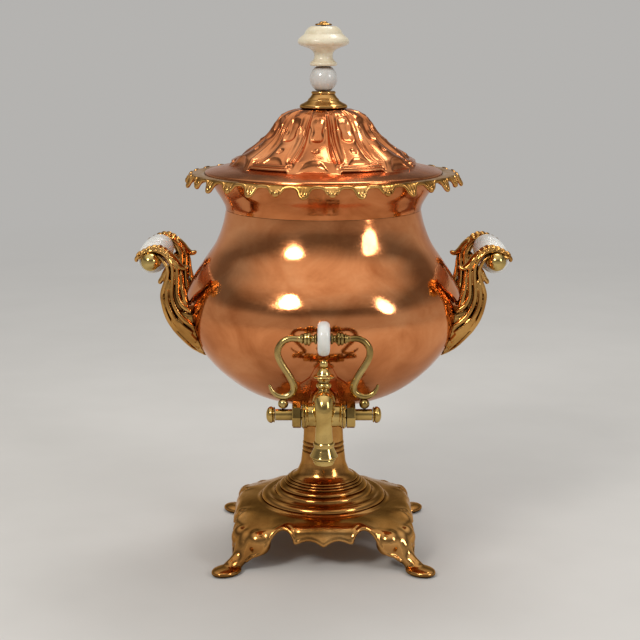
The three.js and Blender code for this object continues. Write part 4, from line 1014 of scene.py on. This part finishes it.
LEVER_TOP = (0, 0, 60)
LYRE = [(20.3, 60.0), (24.5, 60.2), (28.6, 59.2), (32.4, 56.4), (34.9, 52.2), (35.2, 47.6), (33.4, 42.4),
        (30.4, 37.2), (27.2, 32.2), (24.6, 27.4), (23.0, 22.8), (23.4, 18.8), (26.0, 16.0), (30.6, 14.4),
        (34.8, 15.0), (38.4, 17.4), (40.6, 20.6), (41.8, 24.0)]

for label, side in (("left", -1), ("right", 1)):
    axis = "+X" if side > 0 else "-X"
    piece(f"tap_washer_{label}_turned", turned(
        axis, 72, [(4.7, 14.8), (10.4, 14.8)], [(11.0, 15.5), (10.4, 16.1)], [(9.8, 17.0)], [(4.7, 17.0)]),
          TAP_BRASS, [f"tap_washer_{label}"])
    piece(f"gland_nut_{label}_cut", gland(side), TAP_BRASS, [f"gland_nut_{label}"], sharp=20)
    piece(f"spindle_knob_{label}_turned", turned(
        axis, 56, [(0, 37.7), (5.2, 37.7)], [(6.1, 38.3), (5.4, 39.1)],
        [(6.3, 40.0), (6.2, 41.6), (5.0, 43.2), (2.6, 44.2), (0, 44.4)]),
          TAP_BRASS, [f"spindle_knob_{label}"], "tap_lever")
    piece(f"lever_ball_{label}_turned", at_tap(moved(ball((0, 0, 0), (4, 4, 4), 24, 40), (side * 31.3, 0, 8.7))),
          LEVER_BRASS, [f"lever_ball_{label}"], "tap_lever", sharp=0)
    piece(f"lever_ferrule_{label}_turned", turned(
        axis, 56, [(0, 5.2), (3.9, 5.2)], [(4.4, 6.0), (3.9, 6.9)], [(2.9, 7.6), (3.0, 9.0), (4.3, 10.2)],
        [(5.5, 11.0), (5.3, 12.2)], [(4.7, 12.7), (5.2, 13.3)], [(4.8, 14.8), (3.4, 15.8)],
        [(4.1, 16.5), (3.5, 17.4)], [(3.0, 18.4), (2.8, 20.0)], [(0, 20.0)], at=LEVER_TOP),
          LEVER_BRASS, [f"lever_ferrule_{label}"], "tap_lever")
    path = resampled(spline([(side * x, 0, z) for x, z in LYRE], 8), 140)
    arm = tapered(path, [0, 0.2, 0.55, 0.72, 0.86, 0.94, 1], [2.4, 2.6, 2.7, 2.6, 2.2, 1.6, 0.9], 24)
    piece(f"lever_arm_{label}_drawn", at_tap(arm), LEVER_BRASS, [f"lever_arm_{label}"], "tap_lever")

piece("tap_plug_turned", turned(
    "+X", 56, [(0, -37.4), (4.4, -37.4)], [(4.4, -14.6)], [(7.3, -14.4)], [(7.3, 14.4)], [(4.4, 14.6)], [(4.4, 37.4)],
    [(0, 37.4)]), TAP_BRASS, ["tap_plug"], "tap_lever")
piece("lever_disc_turned", turned(
    "+X", 96, [(2.4, -4.9), (8.6, -4.9)],
    [(11.4, -4.4), (13.0, -2.6), (13.4, 0), (13.0, 2.6), (11.4, 4.4), (8.6, 4.9)], [(2.4, 4.9)], at=LEVER_TOP),
      WHITE, ["lever_disc"], "tap_lever")


# Handles, each made at +X: a fluted shell that hugs the bowl, and two arms that scroll over the grip

GRIP = np.array([141.8, 0, 256.5])
GRIP_HALF = 32.8
ARM_SIDE = 39.0
# Points up the middle of an arm: x, z, half its depth and half its width
ARM = [(116, 200, 8.0, 4.2), (120.5, 210, 8.6, 4.0), (123.8, 219, 8.0, 3.8), (125.4, 228, 7.0, 3.6),
       (125.2, 236, 5.2, 3.5),
       (124.2, 244, 3.7, 3.5), (124.0, 251.5, 3.0, 3.6), (126.2, 258.6, 2.8, 4.0), (130.6, 263.4, 2.6, 4.2),
       (136.8, 265.8, 2.4, 4.4), (143.2, 265.2, 2.2, 4.4), (148.6, 263.0, 2.0, 4.2), (152.4, 261.2, 1.8, 3.8),
       (154.0, 258.8, 1.6, 3.2), (153.2, 257.0, 1.2, 2.4)]
# Flutes of an arm as x, z and the distance to the side, and the ones that fan out over the shell
RIBS = [
    [(151.6, 259.6, 42.6), (145.6, 262.2, 43.2), (138.8, 262.6, 43.6), (133.4, 260.2, 43.8), (129.8, 255.8, 43.8),
     (127.8, 250.4, 43.6), (128.2, 243.5, 43.4), (131.2, 236, 43.2), (133.0, 228.5, 42.8),
     (131.8, 219.8, 42.8), (128.6, 209, 41.6), (123.4, 199, 38.4), (117.4, 190.5, 33.0), (110.8, 181.5, 24.0),
     (105.4, 174.6, 12.0), (101.0, 169.6, 4.0)],
    [(127.2, 243.0, 42.6), (128.0, 236.5, 44.2), (129.0, 230, 44.8), (128.4, 222, 45.4), (125.6, 214, 45.8),
     (120.0, 205.2, 45.6), (112.6, 197.6, 44.4), (105.6, 189.6, 42.0)],
    [(149.6, 263.4, 43.4), (143.6, 265.8, 43.8), (137.0, 266.2, 44.0), (131.2, 263.8, 44.2), (127.0, 259.4, 44.2),
     (124.6, 254.4, 44.2), (123.8, 248, 44.4), (124.0, 241, 44.6), (124.8, 233, 45.0), (124.4, 225, 45.4),
     (121.2, 216.4, 46.0), (115.4, 208.6, 46.8), (107.0, 202.6, 47.2)],
    [(122.6, 257.4, 42.4), (120.6, 252.2, 43.8), (120.0, 246, 44.2), (120.3, 237.3, 44.6), (120.0, 228, 45.2),
     (116.3, 220.2, 46.0), (109.2, 214.6, 45.8)],
    [(118.6, 249.8, 40.2), (117.6, 244, 41.4), (117.2, 238, 42.2), (116.2, 231.5, 43.6), (114.6, 225.4, 44.0),
     (113.0, 219, 43.6), (112.6, 212, 42)],
]
FAN = [
    [(124.4, 207.4, 43.8), (118.4, 197.4, 41.6), (110.8, 188.6, 37.6), (104.4, 181.0, 33.0)],
    [(121.0, 200.6, 41.2), (113.6, 191.0, 37.2), (106.0, 181.4, 29.0), (101.4, 173.6, 18.0)],
    [(127.2, 213.6, 45.2), (122.4, 205.6, 45.0), (114.6, 196.0, 43.4), (106.8, 187.6, 39.6)],
    [(122.4, 210.4, 46.2), (116.4, 203.6, 46.2), (108.4, 197.0, 45.4)],
]
# Half the shell's width, and how far it reaches out, by height
SHELL_Z = [168.6, 172, 176, 180, 184, 188, 195, 202, 209, 214, 219, 224]
SHELL_HALF = [3.0, 15.0, 25.0, 32.0, 37.5, 41.0, 44.0, 45.4, 45.6, 45.2, 43.6, 40.5]
SHELL_OUT = [100.6, 102.8, 106.0, 109.2, 112.4, 115.4, 120.2, 124.4, 127.6, 129.4, 130.8, 131.6]


def bowl_radius(z):
    line = np.array(BOWL_LINE)
    return np.interp(z, line[:, 1], line[:, 0])


def beaded(path, side, count, size):
    """A row of slanted beads along a path, like the twist of a rope."""
    shapes = []
    spots = resampled(path, count)
    tangent = directions(spots)
    for k in range(count):
        t = tangent[k]
        across = np.array([0, side, 0.0])
        long = t * 0.80 + across * 0.60
        long /= np.linalg.norm(long)
        wide = across - long * across.dot(long)
        wide /= np.linalg.norm(wide)
        third = np.cross(long, wide)
        taper = math.sin(math.pi * (0.16 + 0.68 * (k + 0.5) / count)) ** 0.5
        shapes.append(ball(spots[k], np.array(size) * taper, 12, 16, np.stack([long, wide, third], axis=1)))
    return shapes


def handle_arm(side):
    """One arm with its flutes, scroll, leaves and boss, to the front or the rear."""
    shapes = []
    line = spline([(x, side * ARM_SIDE, z) for x, z, _, _ in ARM], 8)
    deep = spread([a[2] for a in ARM], len(line))
    wide = spread([a[3] for a in ARM], len(line))
    tangent = directions(line)
    turn = np.linspace(0, 2 * math.pi, 36, endpoint=False)
    bulge = 2.6
    c = np.sign(np.cos(turn)) * np.abs(np.cos(turn)) ** (2 / bulge)
    s = np.sign(np.sin(turn)) * np.abs(np.sin(turn)) ** (2 / bulge)
    rings = []
    for k in range(len(line)):
        out = np.array([tangent[k][2], 0, -tangent[k][0]])
        rings.append(line[k] + c[:, None] * out * deep[k] + s[:, None] * np.array([0, wide[k], 0]))
    shapes.append(capped(rings))
    for number, rib in enumerate(RIBS):
        path = resampled(spline([(x, side * y, z) for x, z, y in rib], 8), 70)
        height = path[:, 2]
        grow = np.interp(height, [166, 185, 200, 215, 228, 240, 250, 262], [1.8, 2.1, 2.1, 2.1, 1.8, 1.6, 1.5, 1.4])
        ends = np.interp(np.linspace(0, 1, 70), [0, 0.06, 0.92, 1], [0.6, 1, 1, 0.6])
        shapes.append(tube(path, grow * ends, 14))
        if number:
            inner = [(x - 0.4, side * (78 - min(y, 44.6)), z) for x, z, y in rib if z > 221]
            path = resampled(spline(inner + [(inner[-1][0] - 1, inner[-1][1] - side * 2, inner[-1][2] - 7)], 8), 50)
            shapes.append(tapered(path, [0, 0.2, 1], [1.0, 1.4, 1.8], 12))
    for rib in FAN:
        path = resampled(spline([(x, side * y, z) for x, z, y in rib], 8), 40)
        shapes.append(tapered(path, [0, 0.3, 0.8, 1], [0.8, 1.5, 1.6, 1.2], 12))
    top = spline([(119.0, 253.0), (122.6, 256.4), (125.4, 261.0), (129.4, 265.4), (135.0, 268.4), (141.4, 268.2),
                  (147.4, 265.6), (151.6, 263.4)], 8)
    for offset, count in ((42.9, 10), (36.4, 10)):
        path = np.array([(x, side * offset, z + 0.3) for x, z in top])
        shapes += beaded(path, side, count, (3.3, 1.8, 2.0))
    leaf = spline([(126.8, side * 39, 262.4), (122.8, side * 39.4, 258.6), (119.6, side * 39.8, 254.4),
                   (116.4, side * 40.2, 251.4), (113.4, side * 40.4, 251.2), (111.8, side * 40.4, 253.4)], 8)
    shapes.append(tapered(leaf, [0, 0.4, 0.75, 1], [3.2, 2.9, 2.5, 1.5], 16, flat=1.8, normal=(0, 1, 0)))
    hook = spline([(128.4, side * 39.6, 251.0), (130.6, side * 40.0, 246.4), (132.6, side * 40.2, 242.0),
                   (134.6, side * 40.4, 239.2), (134.2, side * 40.4, 237.4)], 8)
    shapes.append(tapered(hook, [0, 0.5, 0.85, 1], [2.2, 2.3, 1.8, 1.0], 16, flat=1.7, normal=(0, 1, 0)))
    shapes.append(laid(lathe(outline([(0, 33.4), (8.0, 33.4)], [(8.4, 34.4), (8.4, 39.0), (7.6, 40.0)],
                                     [(0, 40.0)]), 48), "+Y" if side > 0 else "-Y", (GRIP[0], 0, GRIP[2] + 1.3)))
    points, faces = joined(*shapes)
    points[:, 2] -= 1.3 * smoothstep(246, 258, points[:, 2])
    return points, faces


def shell_out(y, z):
    """How far the shell reaches out at a height and a distance to the side."""
    half = float(np.interp(z, SHELL_Z, SHELL_HALF))
    inner = math.sqrt(max(float(bowl_radius(z)) ** 2 - y * y, 1))
    edge = math.sqrt(max(float(bowl_radius(z)) ** 2 - min(half, 38) ** 2, 1))
    dip = float(np.interp(z, [185, 200, 222], [0, 3.0, 9.0])) * max(1 - (y / 34) ** 2, 0) ** 1.5
    rise = max(float(np.interp(z, SHELL_Z, SHELL_OUT)) - edge - 1.4, 0.8)
    share = max(1 - abs(y / half) ** 4.5, 0) ** (1 / 4.5)
    flat = edge + rise - dip
    curve = inner + rise * 0.55
    blend = float(smoothstep(176, 196, z))
    return inner + max((flat * blend + curve * (1 - blend)) - inner, 0.6) * share


def shell_span(y):
    """Lowest and highest point of the shell at a distance to the side."""
    return float(np.interp(abs(y), SHELL_HALF[:9], SHELL_Z[:9])), 212.5 + 9.5 * min(abs(y) / 33, 1) ** 2


def handle_shell():
    """The shell's body, with flutes that run down its outer face to the tip."""
    columns, levels = 64, 40
    rows = []
    for t in np.linspace(0, 1, levels):
        row = []
        for s in np.linspace(-1, 1, columns):
            y = 45.5 * s
            low, high = shell_span(y)
            high = float(np.interp(abs(y), [33, 40.5, 43.6, 45.5], [high, 222, 217, 211]))
            z = low + (high - low) * t
            row.append((shell_out(y, z), y, z))
        rows.append(row)
    outer = np.array(rows)
    inner = outer.copy()
    for row in inner:
        for p in row:
            p[0] = math.sqrt(max((float(bowl_radius(p[2])) + 0.2) ** 2 - p[1] ** 2, 1))
    ring = np.concatenate([outer, inner[:, ::-1]], axis=1)
    shapes = [capped(ring)]
    for k in range(-4, 5):
        line = []
        for t in np.linspace(0.02, 0.98, 10):
            y = 8.2 * k * (0.12 + 0.88 * t ** 0.8)
            low, high = shell_span(y)
            z = low + (high - low) * t
            line.append((shell_out(y, z), y, z))
        path = resampled(spline(line, 6), 50)
        shapes.append(tapered(path, [0, 0.3, 1], [1.2, 2.0, 2.3], 12))
    return joined(*shapes)


def handle_casting():
    return fused("handle", [handle_shell(), handle_arm(-1), handle_arm(1)], 0.5, smooth=2)


def grip_line():
    """The grip's outline: rings with grooves between them, and thicker in the middle."""
    rings = 9
    points = []
    for k in range(rings):
        low = -GRIP_HALF + 2 * GRIP_HALF * k / rings
        high = -GRIP_HALF + 2 * GRIP_HALF * (k + 1) / rings
        swell = [1.5 * (1 - (end / GRIP_HALF) ** 2) for end in ((low + high) / 2, high)]
        points.append([(11.4 + swell[0], low + 1.3), (11.6 + swell[0], (low + high) / 2),
                       (11.4 + swell[0], high - 1.3), (10.4 + swell[1], high)])
    return outline([(4.2, -GRIP_HALF), (10.4, -GRIP_HALF)], *points, [(4.2, GRIP_HALF)], steps=3)


def ball_nut(side):
    """A ball of 15 mm, cut flat where it meets the boss of an arm."""
    arc = np.radians(np.linspace(-53, 90, 30))
    line = np.stack([7.5 * np.cos(arc), 46.0 + 7.5 * np.sin(arc)], axis=1)
    line[-1][0] = 0
    line = np.vstack([[(0, line[0][1])], line])
    return laid(lathe(line, 64), "+Y" if side > 0 else "-Y", (GRIP[0], 0, GRIP[2]))


handle_shape = taken(handle_casting())
for label, turn in (("right", lambda shape: shape), ("left", half_turn)):
    piece(f"handle_{label}_cast", turn(handle_shape), DARK_BRASS, [f"handle_casting_{label}"], sharp=0)
    piece(f"handle_grip_{label}_turned", turn(laid(lathe(grip_line(), 72), "+Y", GRIP)), WHITE,
          [f"handle_grip_{label}"])
    front, rear = (("front", -1), ("rear", 1)) if label == "right" else (("front", 1), ("rear", -1))
    for where, side in (front, rear):
        piece(f"ball_nut_{label}_{where}_turned", turn(ball_nut(side)), BALL_BRASS, [f"ball_nut_{label}_{where}"])


# CAD nodes that stay keep their shapes and take a finish

for name, finish in {
    "plinth_washer": STEEL, "tie_rod_nut": STEEL, "tie_rod": STEEL, "heater_sleeve": TINNED, "finial_nut": RIM_BRASS,
    "finial_rod": STEEL, "heater_iron": IRON, "heater_stem": IRON, "heater_cap": TINNED, "heater_ring": IRON,
    "tap_escutcheon": COPPER, "tap_back_wedge": TAP_BRASS, "tap_back_nut": TAP_BRASS, "lever_pin": STEEL,
    "handle_bolt_left": STEEL, "handle_bolt_right": STEEL,
}.items():
    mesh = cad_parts[name].data
    mesh.materials.clear()
    mesh.materials.append(finish)


# Floor, light and camera

BACKDROP = (0.46, 0.45, 0.435)
FLOOR_RINGS = (0.001, 1.5, 6.0, 14.0)
FLOOR_SIDES = 64


def stage_floor():
    """A wide round floor, far larger than the view."""
    points, faces = grid(np.array([[(r * math.cos(a), r * math.sin(a), 0.0)
                                    for a in np.linspace(0, 2 * math.pi, FLOOR_SIDES, endpoint=False)]
                                   for r in FLOOR_RINGS]), len(FLOOR_RINGS), FLOOR_SIDES)
    mesh = bpy.data.meshes.new("floor")
    mesh.from_pydata([tuple(p) for p in points], [], [f[::-1] for f in faces] + [tuple(range(FLOOR_SIDES))])
    obj = bpy.data.objects.new("floor", mesh)
    bpy.context.scene.collection.objects.link(obj)
    n = Nodes("floor_paper")
    tone = n.ramp(n.noise(6.0, 3.0), [(0.3, srgb(204, 202, 198)), (0.7, srgb(210, 208, 204))])
    roughness = n.span(n.noise(30.0, 3.0), 0.3, 0.7, 0.75, 0.85)
    n.finish(tone, roughness, None, "", 0.0)
    glow = n.tree.nodes.new("ShaderNodeEmission")
    glow.inputs["Color"].default_value = (*BACKDROP, 1)
    path = n.tree.nodes.new("ShaderNodeLightPath")
    seen = n.math("ADD", path.outputs["Is Camera Ray"], path.outputs["Is Glossy Ray"])
    seen = n.math("MINIMUM", n.math("ADD", seen, path.outputs["Is Transmission Ray"]), 1.0)
    middle = n.tree.nodes.new("ShaderNodeVectorMath")
    middle.operation = "LENGTH"
    n.link(n.place, middle.inputs[0])
    away = n.span(middle.outputs["Value"], 0.5, 2.2, 0.0, 1.0)
    blend = n.tree.nodes.new("ShaderNodeMixShader")
    n.link(n.math("MULTIPLY", seen, away), blend.inputs[0])
    n.link(n.shader.outputs[0], blend.inputs[1])
    n.link(glow.outputs[0], blend.inputs[2])
    out = next(node for node in n.tree.nodes if node.type == "OUTPUT_MATERIAL")
    n.link(blend.outputs[0], out.inputs["Surface"])
    mesh.materials.append(n.material)


stage_floor()


def lamp(name, size, energy, at, towards, colour=(1, 1, 1)):
    """A soft oval lamp, in metres and watts."""
    data = bpy.data.lights.new(name, "AREA")
    data.shape = "ELLIPSE"
    data.size, data.size_y = size
    data.energy = energy
    data.color = colour
    obj = bpy.data.objects.new(name, data)
    obj.location = at
    obj.rotation_euler = (Vector(towards) - Vector(at)).to_track_quat("-Z", "Y").to_euler()
    bpy.context.scene.collection.objects.link(obj)


lamp("key", (0.55, 0.55), 15, (-0.9, -1.3, 1.45), (0, 0, 0.2), (1.0, 0.97, 0.93))
lamp("fill", (0.4, 0.7), 6, (1.3, -0.9, 1.0), (0, 0, 0.2), (0.98, 0.98, 1.0))
lamp("back", (0.9, 0.5), 8, (0.3, 0.8, 1.9), (0, 0, 0.25))

world = bpy.data.worlds.new("studio")
bpy.context.scene.world = world
world.use_nodes = True
tree = world.node_tree
background = next(n for n in tree.nodes if n.type == "BACKGROUND")
where = tree.nodes.new("ShaderNodeTexCoord").outputs["Generated"]
split = tree.nodes.new("ShaderNodeSeparateXYZ")
tree.links.new(where, split.inputs[0])
up = tree.nodes.new("ShaderNodeValToRGB")
up.color_ramp.elements[0].position = 0.0
up.color_ramp.elements[0].color = (*BACKDROP, 1)
up.color_ramp.elements[1].position = 1.0
up.color_ramp.elements[1].color = (1.0, 0.98, 0.95, 1)
for position, level in ((0.16, 0.44), (0.28, 0.28), (0.38, 0.16), (0.50, 0.15), (0.64, 0.42), (0.8, 0.8)):
    element = up.color_ramp.elements.new(position)
    element.color = (level, level * 0.98, level * 0.95, 1)
tree.links.new(split.outputs["Z"], up.inputs["Fac"])
tree.links.new(up.outputs["Color"], background.inputs["Color"])
background.inputs["Strength"].default_value = 1.0

# The photograph's eye point in metres, its tilt downwards in degrees and its lens for a sensor 36 mm wide
PHOTO_EYE = (-0.0029, -1.20115, 0.4495)
PHOTO_TILT = 11.52
PHOTO_LENS = 82.46

camera = bpy.data.objects.new("camera", bpy.data.cameras.new("camera"))
bpy.context.scene.collection.objects.link(camera)
camera.data.sensor_width = 36
camera.data.lens = PHOTO_LENS
camera.location = PHOTO_EYE
camera.rotation_euler = (math.radians(90 - PHOTO_TILT), 0, 0)
bpy.context.scene.camera = camera
bpy.context.scene.view_settings.view_transform = "Standard"
